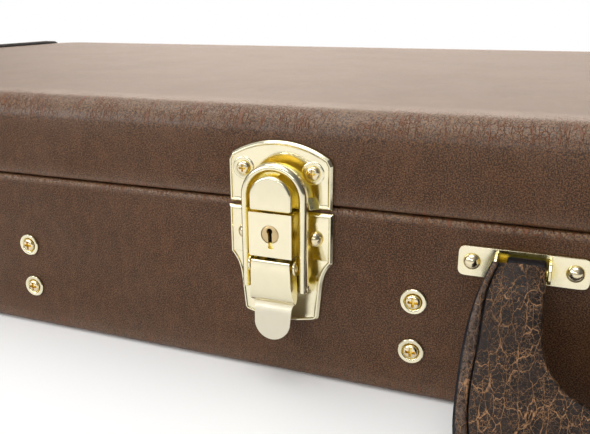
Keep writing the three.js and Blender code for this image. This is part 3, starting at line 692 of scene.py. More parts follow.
def lid_skin():
    rim = LID.z0
    roll = quarter(0, HEIGHT, LID_ROLL, -1)
    rows = [(FLAT_INSET, HEIGHT, 0), (LID_ROLL + 14, HEIGHT, 0.05)]
    rows += [(inset, z, max(0.12, math.sin(math.pi * (i + 1.2) / 8))) for i, (inset, z) in enumerate(roll)]
    rows += [(0, HEIGHT - 17, 0.05), (0, rim + 7, 0.02), (0, rim + 2.6, 0.15), (0.05, rim + 1.4, 0.3)]
    rows += [(0.4, rim + 0.6, 0.4), (1.0, rim + 0.15, 0.2), (1.8, rim, 0), (RIM_WIDTH, rim, 0)]
    rows += [(RIM_WIDTH, rim + 1, 0), (COVER, rim + 1, 0), (COVER, HEIGHT - 12, 0)]
    rows += [(inset, z, 0) for inset, z in quarter(COVER, HEIGHT - COVER, LID_ROLL - COVER, -1)[::-1]]
    shell("lid_leatherette", "lid", rows, "lid_covering")


def base_skin():
    rim = BASE.z1
    rows = [(FLAT_INSET, 0, 0)] + [(inset, z, 0.35) for inset, z in quarter(0, 0, BASE_ROLL, 1, 5)]
    rows += [(0, 7, 0.15), (0, 16, 0.06), (0, rim - 6, 0.02), (0, rim - 3.4, 0.04), (-0.1, rim - 2.4, 0.15)]
    rows += [(-0.1, rim - 1.6, 0.6), (0.2, rim - 0.9, 1), (0.7, rim - 0.3, 1), (1.4, rim, 0.4)]
    rows += [(RIM_WIDTH, rim, 0), (RIM_WIDTH, rim - 1, 0), (COVER, rim - 1, 0), (COVER, 6, 0)]
    rows += [(inset, z, 0) for inset, z in quarter(COVER, COVER, BASE_ROLL - COVER, 1, 5)[::-1]]
    shell("base_leatherette", "base", rows, "base_covering")


def end_piping(name, body, side, inset, z, dive):
    """A leather-covered cord sewn round one end of the case, tucked into its seam before the back corner."""
    r = CORNER - inset
    x, y = LENGTH / 2 - CORNER, WIDTH / 2 - CORNER
    stop = y - PIPING_SHORT
    path = [(x - 6, -y - r, z)] + [(px, py, z) for px, py in arc(x, -y, r, -90, 0, 12)]
    path += [(x + r, -y + (stop + y) * t, z) for t in (0.2, 0.4, 0.6, 0.8, 0.97)]
    path += [(x + r - 0.4, stop + 3, z - dive * 0.3), (x + r - 1.6, stop + 5.5, z - dive)]
    points = [(side * px, py, pz) for px, py, pz in path]
    cord = swept(points, arc(0, 0, PIPING_RADIUS, 0, 360, 14)[:-1], (0, 0, 1))
    piece(name, cord, body, PIPING_LEATHER, ink=0.85)


def case_shell():
    lid_skin()
    base_skin()
    for word, side in SIDES:
        end_piping(f"lid_piping_{word}", "lid", side, 6.5, HEIGHT - 0.3, 2.6)
        end_piping(f"base_piping_{word}", "base", side, 0.4, PIPING_RADIUS + 0.3, 0)
    for node in ("base_shell", "lid_shell"):
        board = frame["nodes"][node]
        board.data.materials.clear()
        board.data.materials.append(PLYWOOD)
        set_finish(board, SLOTS[PLYWOOD])


# ---------------- fasteners


def crosshead(name, body, x, z, profile, size, depth):
    """A turned screw head with two crossed, tapered bars cut into it."""
    level = profile[-1][1]
    bars = []
    for a, b in ((size, size * 0.27), (size * 0.27, size)):
        low, high = [oblong(-a * k, a * k, z - b * k, z + b * k) for k in (0.55, 1.1)]
        bars.append(layered(x, (low, level - depth), (high, level + 1.5)))
    return carved(piece(name, turned(profile, x, FRONT, z), body, BRASS_WORN), *bars)


def rivet(name, x, z, radius, rise, seat):
    """A domed rivet head on a plate of the base."""
    dome = [(radius * px, seat + rise * py) for px, py in arc(0, 0, 1, 0, 90, 8)[:-1]]
    profile = [(0, 0.5), (1.3, 0.5), (1.3, seat), *dome, (0, seat + rise)]
    return piece(name, turned(profile, x, FRONT, z), "base", BRASS_WORN)


def box_screws():
    """Countersunk crosshead screws in cup washers, through the front into the accessory box's end walls."""
    first = Span("box_screw_1")
    edge = Span("cup_washer_1").half + 0.3
    cup = [(2.0, CUP_LIFT), (edge, CUP_LIFT), (edge, 0.7), (edge - 0.25, 0.95), (edge - 1.3, 0.95)]
    cup += [(edge - 1.6, 0.75), (2.9, 0.3), (2.0, CUP_LIFT)]
    head = [(0, -3), (1.4, -3), (1.4, 0.2), (2.8, 0.65), (2.8, 0.95), (2.5, 1.35), (1.7, 1.6), (0, 1.7)]
    screw = crosshead("box_screw_head_1", "base", first.x, first.z, head, 2.5, 1.4)
    ring = turned(cup, first.x, FRONT, first.z, steps=40, ring=True)
    washer = piece("cup_washer_ring_1", ring, "base", BRASS)
    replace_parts(screw, "box_screw_1")
    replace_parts(washer, "cup_washer_1")
    for i in (2, 3, 4):
        here = Span(f"box_screw_{i}")
        shift = (here.x - first.x, here.z - first.z)
        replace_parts(twin(screw, f"box_screw_head_{i}", *shift), f"box_screw_{i}")
        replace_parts(twin(washer, f"cup_washer_ring_{i}", *shift), f"cup_washer_{i}")


# ---------------- latches


def front_level(span):
    return FRONT - span.y0


def arch(half, bottom, top, steps=20):
    return [(-half, bottom), (half, bottom), *arc(0, top - half, half, 0, 180, steps)]


def strike_outline():
    """The lid's plate: straight sides and an arched top."""
    half = STRIKE.half
    radius = (half * half + STRIKE_CROWN * STRIKE_CROWN) / (2 * STRIKE_CROWN)
    swing = math.degrees(math.asin(half / radius)) - 2.5
    top = arc(0, STRIKE.z1 - radius, radius, 90 - swing, 90 + swing, 20)
    shoulder = STRIKE.z1 - STRIKE_CROWN - 1.6
    return [(-half, STRIKE.z0), (half, STRIKE.z0), (half, shoulder), *top, (-half, shoulder)]


def foot_outline():
    """The lower plate, which narrows through an S-shaped shoulder to a waisted foot."""
    half = FOOT_PLATE.half + 0.3
    side = [(half, FOOT_TOP)]
    side += curve((half, 51.6), (half - 0.2, 50.9), (half - 0.8, 50.4), steps=3)
    side += curve((half - 0.8, 50.4), (18.6, 48.0), (17.6, 46.0), (17.1, 41.3), steps=8)
    side += [(17.1, 41.3), *curve((15.9, 28.9), (15.7, 26.9), (14, 26.4), steps=5)]
    side += curve((14, 26.4), (8, FOOT_LOW + 0.5), (0, FOOT_LOW), steps=6)
    left = [(-x, z) for x, z in side[::-1]]
    return (side + [(0, FOOT_LOW)] + left)[::-1]


def pressed_plate(name, x, outline, body):
    """Sheet metal with a sloped edge, a raised rim and a slightly sunk field."""
    steps = ((0, PLATE_LOW), (0, PLATE_EDGE), (0.8, 1.95), (1.25, 1.95), (1.55, 1.55), (2.1, 1.4))
    layers = [(shrunk(outline, distance), level) for distance, level in steps]
    return bevelled(piece(name, layered(x, *layers), body, BRASS), 0.14, 2, 20)


def strike(key, x):
    """The lid's plate, with an embossed platform behind the bail and two screws in pressed collars."""
    plate = pressed_plate(f"{key}_strike_plate", x, strike_outline(), "lid")
    low, centre = STRIKE.z0 + 0.4, BAIL.z1 - 1.0 - PLATFORM_HALF

    def outline(radius, foot, waist, waist_z):
        dome = arc(0, centre, radius, 4, 176, 18)
        return [(-foot, low), (foot, low), (waist, waist_z), *dome, (-waist, waist_z)]

    wide = outline(PLATFORM_HALF, 16.6, 14.2, 77)
    tight = outline(PLATFORM_TOP_HALF, 13.4, 12.2, 77.4)
    platform = layered(x, (wide, 1.0), (wide, 1.5), (tight, PLATFORM_LEVEL))
    # painted shade: the deep mask gives the platform's sloped sides the full amber recess colour, and its top
    # a fifth of it
    deep = [1.0] * (len(wide) * 2) + [0.2] * len(tight)
    bevelled(piece(f"{key}_strike_platform", platform, "lid", BRASS, deep=deep), 0.4, 3, 20)
    collar = [(2.6, 1.2), (4.6, 1.2), (4.3, 1.6), (3.7, 1.75), (3.2, 1.6), (2.6, 1.6)]
    for (side, _), (px, z) in zip(SIDES, STRIKE_SCREWS):
        piece(f"{key}_screw_collar_{side}", turned(collar, x + px, FRONT, z, ring=True), "lid", BRASS)
    head = [(0, 0.5), (1.3, 0.5), (1.3, 1.4), (2.8, 1.4), (2.75, 2.0), (2.4, 2.5), (1.6, 2.8), (0, 2.9)]
    screws = [crosshead(f"{key}_strike_screw_{side}", "lid", x + px, z, head, 1.9, 1.0)
              for (side, _), (px, z) in zip(SIDES, STRIKE_SCREWS)]
    return plate, screws


def hook(key, x):
    """A domed-edge head on a shorter neck, under the bail's tip."""
    neck = facing(x, arch(HOOK.half - 0.9, HOOK.z0, BAIL_TIP - 0.8), PLATE_TOP, 9.1)
    head = facing(x, arch(HOOK.half, HOOK.z0, HOOK.z1, 28), 9, front_level(HOOK))
    return bevelled(piece(f"{key}_hook", merged(neck, head), "lid", BRASS), 1.05, 2)


def foot(key, x):
    """The base's plate, with the lever's ears, pin and rod, and two rivets."""
    plate = pressed_plate(f"{key}_foot_plate", x, foot_outline(), "base")
    pivot = PIVOT["key_lever_hinge"]
    level, z = FRONT - pivot.y, pivot.z
    turns = [math.radians(degrees) for degrees in range(170, 9, -16)]
    ear = [(z - 4.2, PLATE_TOP), (z - 3.3, level - 1)]
    ear += [(z + 3.2 * math.cos(a), level + 2.6 * math.sin(a)) for a in turns]
    ear += [(z + 3.3, level - 1), (z + 4.2, PLATE_TOP)]
    button = [(0, -0.6), (1.5, -0.6), (1.5, 0), (1.3, 0.25), (0.7, 0.42), (0, 0.45)]
    for side, sign in SIDES:
        wall = sideways(ear, x + sign * EAR_INSIDE, x + sign * EAR_OUTSIDE)
        bevelled(piece(f"{key}_ear_{side}", wall, "base", BRASS), 0.3, 3)
        pin = turned(button, x + sign * EAR_OUTSIDE, pivot.y, z, (sign, 0, 0), 20)
        piece(f"{key}_pin_head_{side}", pin, "base", BRASS_WORN)
        rivet(f"{key}_rivet_{side}", x + sign * RIVET_OUT, RIVET_Z, 3.15, 3.0, 1.45)
    piece(f"{key}_pivot_rod", rod(0.95, EAR_INSIDE + 0.6, x, pivot.y, z, 20), "base", BRASS_WORN)
    return plate


def housing(key, x):
    """The raised block under the hook. The key latch's has a round socket and a notch under it."""
    face = front_level(HOUSING)
    outline = rounded(oblong(-HOUSING.half, HOUSING.half, HOUSING.z0, HOUSING.z1), 0.3, 2)
    block = piece(f"{key}_housing", facing(x, outline, PLATE_TOP, face), "base", BRASS)
    if key == "key":
        socket = [(0, 3), (PLUG.half + 0.15, 3), (PLUG.half + 0.15, 14), (0, 14)]
        low, top = PLUG.z0 - 2.2, PLUG.z0 + 0.4
        notch = [(-0.75, low + 0.3), (-0.45, low), (0.85, low), (1.1, low + 0.3), (0.9, top), (-0.6, top)]
        carved(block, turned(socket, x, FRONT, PLUG.z, steps=40), facing(x, notch, face - 1.1, 13))
    return bevelled(block, 0.35, 3)


def lock_plug():
    """The turning plug, with a keyhole: a round top and a stem that runs out of the plug's lower edge."""
    face = front_level(HOUSING) + 0.05
    disc = [(0, 4), (PLUG.half, 4), (PLUG.half, face - 0.25), (PLUG.half - 0.3, face), (0, face)]
    plug = piece("lock_plug_face", turned(disc, PLUG.x, FRONT, PLUG.z, steps=40), "lock_plug", BRONZE)
    stem = 0.75
    upper = [(stem + 0.05, 0.2), *arc(-0.1, 1.25, 1.2, -50, 230, 12), (-stem, 0.2)]

    def keyhole(end):
        points = [(0.15 - stem, end), (0.15 + stem, end), *upper]
        return [(px, PLUG.z + max(pz, end)) for px, pz in points]

    carved(plug, facing(PLUG.x, keyhole(-PLUG.half - 0.4), face - 3.5, face + 2))
    bottom = facing(PLUG.x, keyhole(0.3 - PLUG.half), face - 3.6, face - 1.2)
    piece("lock_keyway", bottom, "lock_plug", SHADOW)
    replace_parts(plug, "key_latch_lock_plug")


def lever(key, x):
    """A pressed channel that narrows at a crease and ends in a flared, satin thumb tab."""
    half, top, end = LEVER_HALF, LEVER.z1, LEVER.z0
    rows = [  # height, half width, level, depth of the sides
        (top, half - 0.4, 11.2, 4.2), (top - 0.35, half - 0.3, 11.6, 4.8),
        (top - 0.9, half - 0.25, 11.75, 5.6), (48, half, 11.65, 6.8),
        (43.5, half + 0.1, 11.5, 6.9), (40.5, half + 0.4, 11.2, 6.0),
        (38.4, half + 0.8, 10.8, 4.6), (37.0, half + 1.0, 10.2, 3.2),
        (36.0, half + 1.0, 9.3, 1.8), (35.4, half + 0.8, 8.5, 0.9),
        (34.9, half + 0.2, 8.3, 0.8), (34.2, half - 0.3, 8.9, 0.8),
        (33.2, half - 0.5, 9.6, 0.8), (30, TAB_HALF, 10.0, 0.8),
    ]
    for a in [math.pi / 2 * i / 8 for i in range(1, 9)]:
        rise = TAB_HALF * math.sin(a)
        rows.append((end + TAB_HALF - rise, max(TAB_HALF * math.cos(a), 0.4), 10.3 + 0.14 * rise, 0.8))
    rings, satin = [], []
    for z, width, level, sides in rows:
        low = level - sides
        channel = sides > 1
        inner = width - 1.0 if channel else width * 0.85
        under = level - 1.0 if channel else low
        right = [(width, level), (width, low), (inner, low), (inner, under)]
        section = [(-px, py) for px, py in right[1::-1]] + right + [(-px, py) for px, py in right[:1:-1]]
        rings.append([(x + px, FRONT - py, z) for px, py in section])
        satin += [1.0 if z < CREASE_Z else 0.0] * len(section)
    obj = piece(f"{key}_lever_plate", stacked(rings), f"{key}_lever", BRASS, satin=satin)
    return bevelled(obj, 0.42, 3, 30)


def bail(key, x):
    """A half-round strip bent into a U, with an eye at each foot and a pointed tip under its arch."""
    pivot = PIVOT["key_bail_hinge"]
    edge = BAIL_STRIP / 2
    centre = BAIL_HALF - edge
    top = BAIL.z1 - BAIL_HALF
    heights = (pivot.z - 1.6, 50, 62)
    path = [(-centre, z) for z in heights] + arc(0, top, centre, 180, 0, 28)
    path += [(centre, z) for z in heights[::-1]]
    crown = [(edge * px, 1.1 + (BAIL_THICK - 1.1) * py) for px, py in arc(0, 0, 1, 0, 180, 10)]
    profile = [(-edge, 0.15), (0.15 - edge, 0), (edge - 0.15, 0), (edge, 0.15), *crown]
    strip = swept([(x + px, FRONT - BAIL_LEVEL, pz) for px, pz in path], profile, (0, -1, 0))
    inner = BAIL_HALF - BAIL_STRIP + 0.2
    lean = math.degrees(math.asin(3.4 / inner))
    tip = [*arc(0, top, inner, 90 - lean, 90 + lean, 6), (-0.5, BAIL_TIP + 0.2), (0.5, BAIL_TIP + 0.2)]
    eyes = [rod(2.3, 1.2, x + sign * centre, pivot.y, pivot.z, 24) for sign in (-1, 1)]
    loop = merged(strip, facing(x, tip, BAIL_LEVEL + 0.2, BAIL_LEVEL + 2.2), *eyes)
    obj = piece(f"{key}_bail_loop", loop, f"{key}_bail", BRASS)
    button = [(0, -0.5), (1.25, -0.5), (1.25, 0), (1.0, 0.35), (0.5, 0.5), (0, 0.52)]
    for side, sign in SIDES:
        pin = turned(button, x + sign * BAIL_HALF, pivot.y, pivot.z, (sign, 0, 0), 20)
        piece(f"{key}_bail_pin_{side}", pin, f"{key}_lever", BRASS_WORN)
    return bevelled(obj, 0.12, 2, 40)


def latches():
    """Four draw latches. The plain ones have fewer CAD nodes, so some of their pieces replace none."""
    for key in LATCHES:
        x = Span(f"{key}_latch_bail").x
        plate, screws = strike(key, x)
        head = hook(key, x)
        lower = foot(key, x)
        block = housing(key, x)
        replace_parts(lever(key, x), f"{key}_latch_lever")
        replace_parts(bail(key, x), f"{key}_latch_bail")
        if key != "key":
            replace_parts(plate, f"{key}_latch_strike")
            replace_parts(lower, f"{key}_latch_base_plate")
            continue
        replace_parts(plate, "key_latch_strike_plate")
        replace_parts(head, "key_latch_hook")
        riveted = ("base_plate", "lever_pin", "rivet_left", "rivet_right")
        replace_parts(lower, *[f"key_latch_{part}" for part in riveted])
        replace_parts(block, "key_latch_lock_housing")
        for (side, _), screw in zip(SIDES, screws):
            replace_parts(screw, f"key_latch_strike_screw_{side}")
    lock_plug()


# ---------------- handle


def handle_place(x, down, off):
    """A point of the hanging handle: down from the pivot along the leg, and off it towards the front."""
    pivot = PIVOT["handle_swing"]
    tilt = math.radians(HANDLE_TILT)
    y = pivot.y - down * math.sin(tilt) - off * math.cos(tilt)
    return (x, y, pivot.z - down * math.cos(tilt) + off * math.sin(tilt))


def handle_stations():
    """Pairs of outer and inner edge points, (half length, down), from the bracket to the grip's middle."""
    wide, drop, turn = GRIP_OUTER, GRIP_DROP, GRIP_OUTER - GRIP_CORNER
    outer = curve((LEG_OUTER, 0), (wide - 1, 14), (wide, 24), (wide, LEG_DOWN), steps=24)
    outer += curve((wide, LEG_DOWN), (wide, drop - 6), (wide - 4, drop), (turn, drop), steps=22)
    outer += curve((turn, drop), (0, drop), steps=14) + [(0, drop)]
    narrow, window, end = LEG_INNER, GRIP_WINDOW, LEG_INNER - 28
    inner = curve((narrow, 0), (narrow - 0.8, 12), (narrow - 1, 22), steps=24)
    inner += curve((narrow - 1, 22), (narrow - 3, window), (end, window), steps=22)
    inner += curve((end, window), (0, window), steps=14) + [(0, window)]
    return list(zip(outer, inner))


def ease(value, start, end):
    t = min(max((value - start) / (end - start), 0), 1)
    return t * t * (3 - 2 * t)


def handle_section(width, front, back, roll):
    """A cross-section as (distance from the outer edge, height, ink): roll, seam, panel, inner edge, back."""
    middle = (front + back) / 2
    side = min(3.2, (front - back) / 2)
    crown = front - side * 0.55
    seam = front - side * 0.5 - 0.35
    span = width - roll
    points = [(0.0, middle, 1.0), (0.12, front - side * 0.95, 1.0)]
    for t in (0.12, 0.26, 0.38, 0.5, 0.62, 0.74, 0.86):
        reach, height = roll / 2 * (1 - math.cos(math.pi * t)), crown + side * 0.5 * math.sin(math.pi * t)
        points.append((reach, height, 0.95 if t < 0.28 else 0.0))
    points += [(roll - 0.1, seam, 1.0), (roll + 0.25, seam, 1.0), (roll + 0.6, front - 0.7, 0.1)]
    for t in (0.12, 0.25, 0.4, 0.55, 0.7, 0.82):
        points.append((roll + span * t, front - 0.25 + 0.8 * math.sin(math.pi * t), 0.0))
    points += [(width - 1.1, front - 0.5, 0.1), (width - 0.3, front - side * 0.55, 0.3), (width, middle, 0.4)]
    points += [(width - 0.3, back + side * 0.55, 0.3), (width - 1.6, back + 0.3, 0.2)]
    points += [(width * t, back - 0.3 * math.sin(math.pi * t), 0.2) for t in (0.75, 0.5, 0.25)]
    return points + [(1.6, back + 0.3, 0.4), (0.3, back + side * 0.6, 0.9)]


def handle_body():
    """Both legs and the grip in one skin: thin and flat at the brackets, full at the grip."""
    rings, ink, crown = [], [], []
    stations = handle_stations()
    halves = [(*station, -1) for station in stations] + [(*station, 1) for station in stations[-2::-1]]
    thin, thick = 6.9, GRIP_HALF_THICK
    for outer, inner, side in halves:
        edge, across = Vector(outer), Vector(inner) - Vector(outer)
        down = (outer[1] + inner[1]) / 2
        leg = outer[1] if outer[0] > LEG_OUTER - 1 and outer[1] < LEG_DOWN else LEG_DOWN
        front = thin + (thick - thin) * ease(leg, 2, 16)
        back = 4.6 - 8.0 * ease(leg, 3.6, 6.2) + (3.4 - thick) * ease(leg, 6, 24)
        roll = EDGE_ROLL_TOP + (EDGE_ROLL - EDGE_ROLL_TOP) * ease(leg, 2, 34)
        ring = []
        for reach, height, dark in handle_section(across.length, front, back, roll):
            px, pz = edge + across * (reach / across.length)
            here = Vector((side * px, pz, height))
            lumps = 0.75 if reach < roll else 0.25
            wrinkle = lumps * noise.noise(here * 0.16) + lumps * 0.45 * noise.noise(here * 0.42)
            ring.append(handle_place(side * px, pz, height + wrinkle * ease(down, 2, 20)))
            ink.append(dark)
            # crown mask: the top of the edge roll, which the leather paints grey as part wear and part
            # painted highlight
            crown.append(1.0 if 0.3 < reach < roll - 0.3 and height > front - 3 else 0.0)
        rings.append(ring)
    return piece("handle_leather_body", stacked(rings), "handle", HANDLE_LEATHER, ink=ink, crown=crown)


def handle_loop(side, word):
    """The strap end that wraps the bracket's bar."""
    x = side * (Span("handle_bracket_right").x - 1.2)
    section = arc(0, 0, LOOP_RADIUS, 55, 295, 20) + [(12, -3.2), (12, 3.6)]
    rings = [[handle_place(px, down, off) for down, off in section] for px in (x - LOOP_HALF, x + LOOP_HALF)]
    bevelled(piece(f"handle_loop_{word}", stacked(rings), "handle", HANDLE_LEATHER, ink=0.7), 0.9, 4, 40)


def bracket(word, rivets):
    """A plate with a window and two standing walls that carry the bar."""
    span = Span(f"handle_bracket_{word}")
    pivot = PIVOT["handle_swing"]
    x, z = span.x, pivot.z
    outline = rounded(oblong(-span.half, span.half, z - BRACKET_HALF_TALL, z + BRACKET_HALF_TALL), 2.6)
    plate = piece(f"handle_plate_{word}", facing(x, outline, PLATE_LOW, 1.4), "base", BRASS)
    opening = oblong(-BRACKET_WINDOW, BRACKET_WINDOW, z - 4.15, z + 4.15)
    carved(plate, facing(x, opening, -1, 3))
    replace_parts(bevelled(plate, 0.5, 3), f"handle_bracket_{word}")
    piece(f"handle_backing_{word}", facing(x, opening, 0.1, 0.35), "base", BRASS)
    top = front_level(span)
    wall = [(z - 3.6, 0.4), (z - 3.5, top - 1.8), (z - 1.7, top)]
    wall += [(2 * z - height, level) for height, level in wall[::-1]]
    for (end, sign), number in zip(SIDES, rivets):
        standing = sideways(wall, x + sign * BRACKET_WINDOW, x + sign * (BRACKET_WINDOW + 1.25))
        bevelled(piece(f"handle_wall_{word}_{end}", standing, "base", BRASS), 0.35, 3)
        head = rivet(f"handle_rivet_{word}_{end}", x + sign * BRACKET_RIVET_OUT, z, 2.95, 2.3, 1.4)
        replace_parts(head, f"handle_rivet_{number}")
    piece(f"handle_bar_{word}", rod(1.6, BRACKET_WINDOW + 0.6, x, pivot.y, z, 24), "base", BRASS)


def handle():
    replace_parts(handle_body(), "handle_grip")
    for (word, side), rivets in zip(SIDES, ((1, 2), (3, 4))):
        handle_loop(side, word)
        bracket(word, rivets)


# ---------------- inside


def soft(name, solid, cell, passes):
    """A padded form: a block remeshed finely and smoothed until its edges are round."""
    obj = piece(name, solid, "base", PLUSH)
    remesh = obj.modifiers.new("cells", "REMESH")
    remesh.mode = "VOXEL"
    remesh.voxel_size = cell * MM
    smooth = obj.modifiers.new("smooth", "SMOOTH")
    smooth.factor = 0.5
    smooth.iterations = passes
    baked(obj)
    for vertex in obj.data.vertices:
        vertex.co += vertex.normal * 0.35 * MM * noise.noise(vertex.co / MM * 0.045)
    obj.data.polygons.foreach_set("use_smooth", [True] * len(obj.data.polygons))
    return obj


def body_padding():
    """A block round a guitar-shaped well, and the well's floor."""
    edge = []
    start = (PADDING.x0, 45)
    for near, far, end in WELL:
        edge += curve(start, near, far, end, steps=14)
        start = end
    edge.append(start)
    x0, x1, y, r = PADDING.x0, PADDING.x1, PADDING.y1, 20
    outside = [(x0, -y), *arc(x1 - r, -y + r, r, -90, 0, 8), *arc(x1 - r, y - r, r, 0, 90, 8), (x0, y)]
    inside = edge + [(px, -py) for px, py in edge[-2::-1]]
    block = soft("body_padding_block", upright(outside + inside, FLOOR_TOP, PADDING.z1), 4, 10)
    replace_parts(block, "body_padding")
    floor = upright(shrunk(inside[::-1], -2), FLOOR_TOP, FLOOR_TOP + 3)
    bevelled(piece("body_well_floor", floor, "base", PLUSH), 1, 2)


def neck_cradle():
    """A block across the case with a rounded notch for the neck."""
    half, top, deep, lip = CRADLE.y1, CRADLE.z1, CRADLE.z1 - 22, NECK_NOTCH + 6
    dip = curve((lip, top), (NECK_NOTCH, top), (NECK_NOTCH - 4, deep), (0, deep), steps=12)
    side = [(half, FLOOR_TOP), (half, top), *dip]
    outline = side + [(0, deep)] + [(-y, z) for y, z in side[::-1]]
    rings = [[(x, y, z) for y, z in outline] for x in (CRADLE.x0, CRADLE.x1)]
    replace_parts(soft("neck_cradle_block", stacked(rings), 3, 8), "neck_cradle")


def accessory_box():
    """Three walls against the case's front, and a hinged cover with a looped tab."""
    left, right, front = BOX.x0 + BOX_WALL, BOX.x1 - BOX_WALL, BOX.y0
    rear = BOX.y1 - BOX_BACK_WALL
    outline = [(BOX.x0, front), (left, front), (left, rear), (right, rear), (right, front)]
    outline += [(BOX.x1, front), (BOX.x1, BOX.y1), (BOX.x0, BOX.y1)]
    walls = piece("accessory_box_walls", upright(outline, BOX.z0, BOX.z1), "base", PLUSH)
    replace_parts(bevelled(walls, 1.5, 3), "accessory_box")
    c = BOX_COVER
    board = upright(oblong(c.x0, c.x1, c.y0, c.y1), c.z0, c.z1)
    panel = piece("accessory_cover_panel", board, "accessory_cover", PLUSH)
    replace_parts(bevelled(panel, 1.6, 4), "accessory_lid")
    path = [(c.x + 11 * px, c.y0 + 12, c.z1 - 0.6 + 7 * pz) for px, pz in arc(0, 0, 1, 0, 180, 16)]
    piece("accessory_cover_tab", strap(path, 16, 1.0, (0, 1, 0)), "accessory_cover", RIBBON)


def lined(span, steps):
    """Rows of (inset, height) from steps in from a node's outer face."""
    return [(LENGTH / 2 - span.x1 + step, z) for step, z in steps]


def linings():
    low, top = LINING.z0, LINING.z1
    rows = lined(LINING, [(0, low + 0.2), (0, top - 1), (0.5, top), (SHEET - 0.5, top), (SHEET, top - 1),
                          (SHEET, low + 6), (SHEET + 1.2, low + SHEET + 0.6), (SHEET + 4, low + SHEET)])
    rows.append((FLAT_INSET, low + SHEET))
    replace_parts(piece("base_lining_plush", stacked(plan_rings(rows)), "base", PLUSH), "base_lining")
    low, top = TONGUE.z0, TONGUE.z1
    rows = lined(TONGUE, [(0, low), (0, top - 1), (0.4, top - 0.2), (1, top), (1.8, top), (2.4, top - 0.2),
                          (2.8, top - 1), (2.8, low)])
    ring = stacked(plan_rings(rows), closed=True)
    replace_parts(piece("base_tongue_ring", ring, "base", PLYWOOD), "base_tongue")
    low, top = LID_LINING.z0, LID_LINING.z1
    pad = top - 8
    rows = lined(LID_LINING, [(0, top), (0, low + 1), (0.5, low), (SHEET - 0.5, low), (SHEET, low + 1),
                              (SHEET, pad - 3), (SHEET + 0.6, pad - 0.8), (SHEET + 1.6, pad + 0.1),
                              (SHEET + 3, pad - 0.6), (SHEET + 6, pad - 1.8), (SHEET + 12, pad - 2.6),
                              (SHEET + 40, pad - 3)])
    rows.append((90, pad - 3.2))
    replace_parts(piece("lid_lining_pad", stacked(plan_rings(rows[::-1])), "lid", PLUSH), "lid_lining")


def lid_ribbon():
    """The tape that stops the lid, folded between the padding and the lid when the case is shut."""
    x, y = PADDING.x1 - 16, 60
    low, high = PADDING.z1 - 3, LID_LINING.z1 - 9
    path = []
    for t in [i / RIBBON_FOLDS for i in range(RIBBON_FOLDS + 1)]:
        path.append((x, y + 6 * math.sin(6 * math.pi * t) * math.sin(math.pi * t), low + (high - low) * t))
    tape = piece("lid_stay_ribbon", strap(path, RIBBON_WIDTH, 0.9, (1, 0, 0)), None, RIBBON)
    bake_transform(tape)


# ---------------- hinges and feet


def hinge_leaf(name, x, turn, body, node):
    """One leaf: turn is -1 for the base's, with the outer knuckles and the pin, and 1 for the lid's."""
    axis = PIVOT["lid_hinge"]
    span = Span(node)
    half, inner = HINGE_HALF, HINGE_KNUCKLE - turn * HINGE_GAP
    near, far = HINGE_BARREL + 0.8, abs((span.z1 if turn > 0 else span.z0) - axis.z)
    knuckles = [(-half, -inner), (inner, half)] if turn < 0 else [(-inner, inner)]
    r = HINGE_CORNER
    leaf = [(-half, near), (half, near), *arc(half - r, far - r, r, 0, 90, 6)]
    leaf += arc(r - half, far - r, r, 90, 180, 6)
    solids = []
    for outline in [leaf] + [oblong(x0, x1, 0.6, near + 1) for x0, x1 in knuckles]:
        points = [(x + px, axis.z + turn * pz) for px, pz in outline]
        solids.append(stacked([[(px, BACK + level, pz) for px, pz in points] for level in (0.25, 1.4)]))
    for x0, x1 in knuckles:
        full, round_end = HINGE_BARREL, HINGE_BARREL - 0.3
        barrel = [(0, x0), (round_end, x0), (full, x0 + 0.3), (full, x1 - 0.3), (round_end, x1), (0, x1)]
        solids.append(turned(barrel, x, axis.y, axis.z, (1, 0, 0), 28))
    if turn < 0:
        solids.append(rod(1.3, half + 0.6, x, axis.y, axis.z, 20))
    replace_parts(bevelled(piece(name, merged(*solids), body, BRASS), 0.2, 2, 40), node)
    head = [(0, 1.0), (2.6, 1.0), (2.5, 1.7), (1.8, 2.2), (0, 2.4)]
    for i, px in enumerate((-18, 0, 18)):
        screw = turned(head, x + px, BACK, axis.z + turn * (far - 7), (0, 1, 0), 24)
        piece(f"{name}_screw_{i + 1}", screw, body, BRASS_WORN)


def hinges():
    for i in (1, 2, 3):
        x = Span(f"hinge_{i}_base_leaf").x
        hinge_leaf(f"hinge_{i}_lower", x, -1, "base", f"hinge_{i}_base_leaf")
        hinge_leaf(f"hinge_{i}_upper", x, 1, "lid", f"hinge_{i}_lid_leaf")


def feet():
    profile = [(0, 0.2), (8.5, 0.2), (8.5, 1.6), (8.2, 2.4), (7.7, 4.6), (7.0, 6.9), (6.2, 8.2), (5.0, 8.9)]
    profile += [(4.0, 9.0), (0, 9.0)]
    for body in ("base", "lid"):
        for side, _ in SIDES:
            here = Span(f"foot_{body}_{side}")
            cup = turned(profile, here.x, BACK, here.z, (0, 1, 0), 40)
            cup = bevelled(piece(f"foot_{body}_cup_{side}", cup, body, BRASS), 0.3, 2, 40)
            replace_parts(cup, f"foot_{body}_{side}")


# ---------------- scene


def camera():
    data = bpy.data.cameras.new("camera")
    data.lens = CAMERA_LENS
    data.clip_start = 0.01
    obj = bpy.data.objects.new("camera", data)
    bpy.context.scene.collection.objects.link(obj)
    turns = ((CAMERA_YAW, "Z"), (90 - CAMERA_PITCH, "X"), (-CAMERA_ROLL, "Z"))
    place = Matrix.Translation(Vector(CAMERA_PLACE) * MM)
    for degrees, axis in turns:
        place = place @ Matrix.Rotation(math.radians(degrees), 4, axis)
    obj.matrix_world = place
    bpy.context.scene.camera = obj


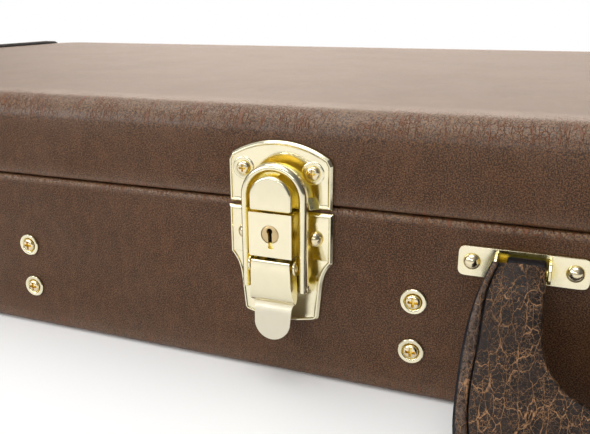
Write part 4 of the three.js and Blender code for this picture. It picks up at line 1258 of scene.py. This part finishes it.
def softbox(name, place_m, aim_m, size_m, power):
    data = bpy.data.lights.new(name, "AREA")
    data.shape = "RECTANGLE"
    data.size, data.size_y = size_m
    data.energy = power
    obj = bpy.data.objects.new(name, data)
    obj.location = place_m
    obj.rotation_euler = (Vector(aim_m) - Vector(place_m)).to_track_quat("-Z", "Y").to_euler()
    bpy.context.scene.collection.objects.link(obj)


def world():
    """White to the camera. Elsewhere bright and warm behind the case, and dim behind the camera."""
    made = bpy.data.worlds.new("studio")
    made.use_nodes = True
    bpy.context.scene.world = made
    w = Nodes(made.node_tree)
    split = w.tree.nodes.new("ShaderNodeSeparateXYZ")
    w.give(split, "Vector", w.made("ShaderNodeTexCoord", "Generated", {}))
    x, y, z = [split.outputs[axis] for axis in "XYZ"]
    behind = w.times(w.fade(y, 0.45, 0.9, 0.0, 2.3), w.fade(z, 0.0, 0.08))
    behind = w.times(behind, w.fade(x, -0.8, 0.1, 1.15, 0.85))
    room = w.times(w.fade(x, 0.1, 0.7, 0.85, 0.2), w.fade(z, -0.1, 0.9, 0.55, 0.8))
    seen = w.made("ShaderNodeLightPath", "Is Camera Ray", {})
    unseen = w.fade(seen, 0, 1, 1.0, 0.0)
    sky = w.tree.nodes["Background"]
    w.give(sky, "Color", w.mix(w.times(behind, unseen), (1.0, 1.0, 1.0), (1.0, 0.88, 0.77)))
    w.give(sky, "Strength", w.maths("ADD", w.times(w.maths("ADD", behind, room), unseen), seen))


def studio():
    corners = oblong(-FLOOR_HALF, FLOOR_HALF, -FLOOR_HALF, FLOOR_HALF)
    mesh = bpy.data.meshes.new("floor")
    mesh.from_pydata([Vector((x, y, -FLOOR_DROP)) * MM for x, y in corners], [], [(0, 1, 2, 3)])
    mesh.materials.append(floor_material())
    floor = bpy.data.objects.new("floor", mesh)
    bpy.context.scene.collection.objects.link(floor)
    for light in LIGHTS_M:
        softbox(*light)
    world()
    camera()
    bpy.context.scene.view_settings.view_transform = "Standard"


case_shell()
box_screws()
latches()
handle()
linings()
body_padding()
neck_cradle()
accessory_box()
lid_ribbon()
hinges()
feet()
studio()
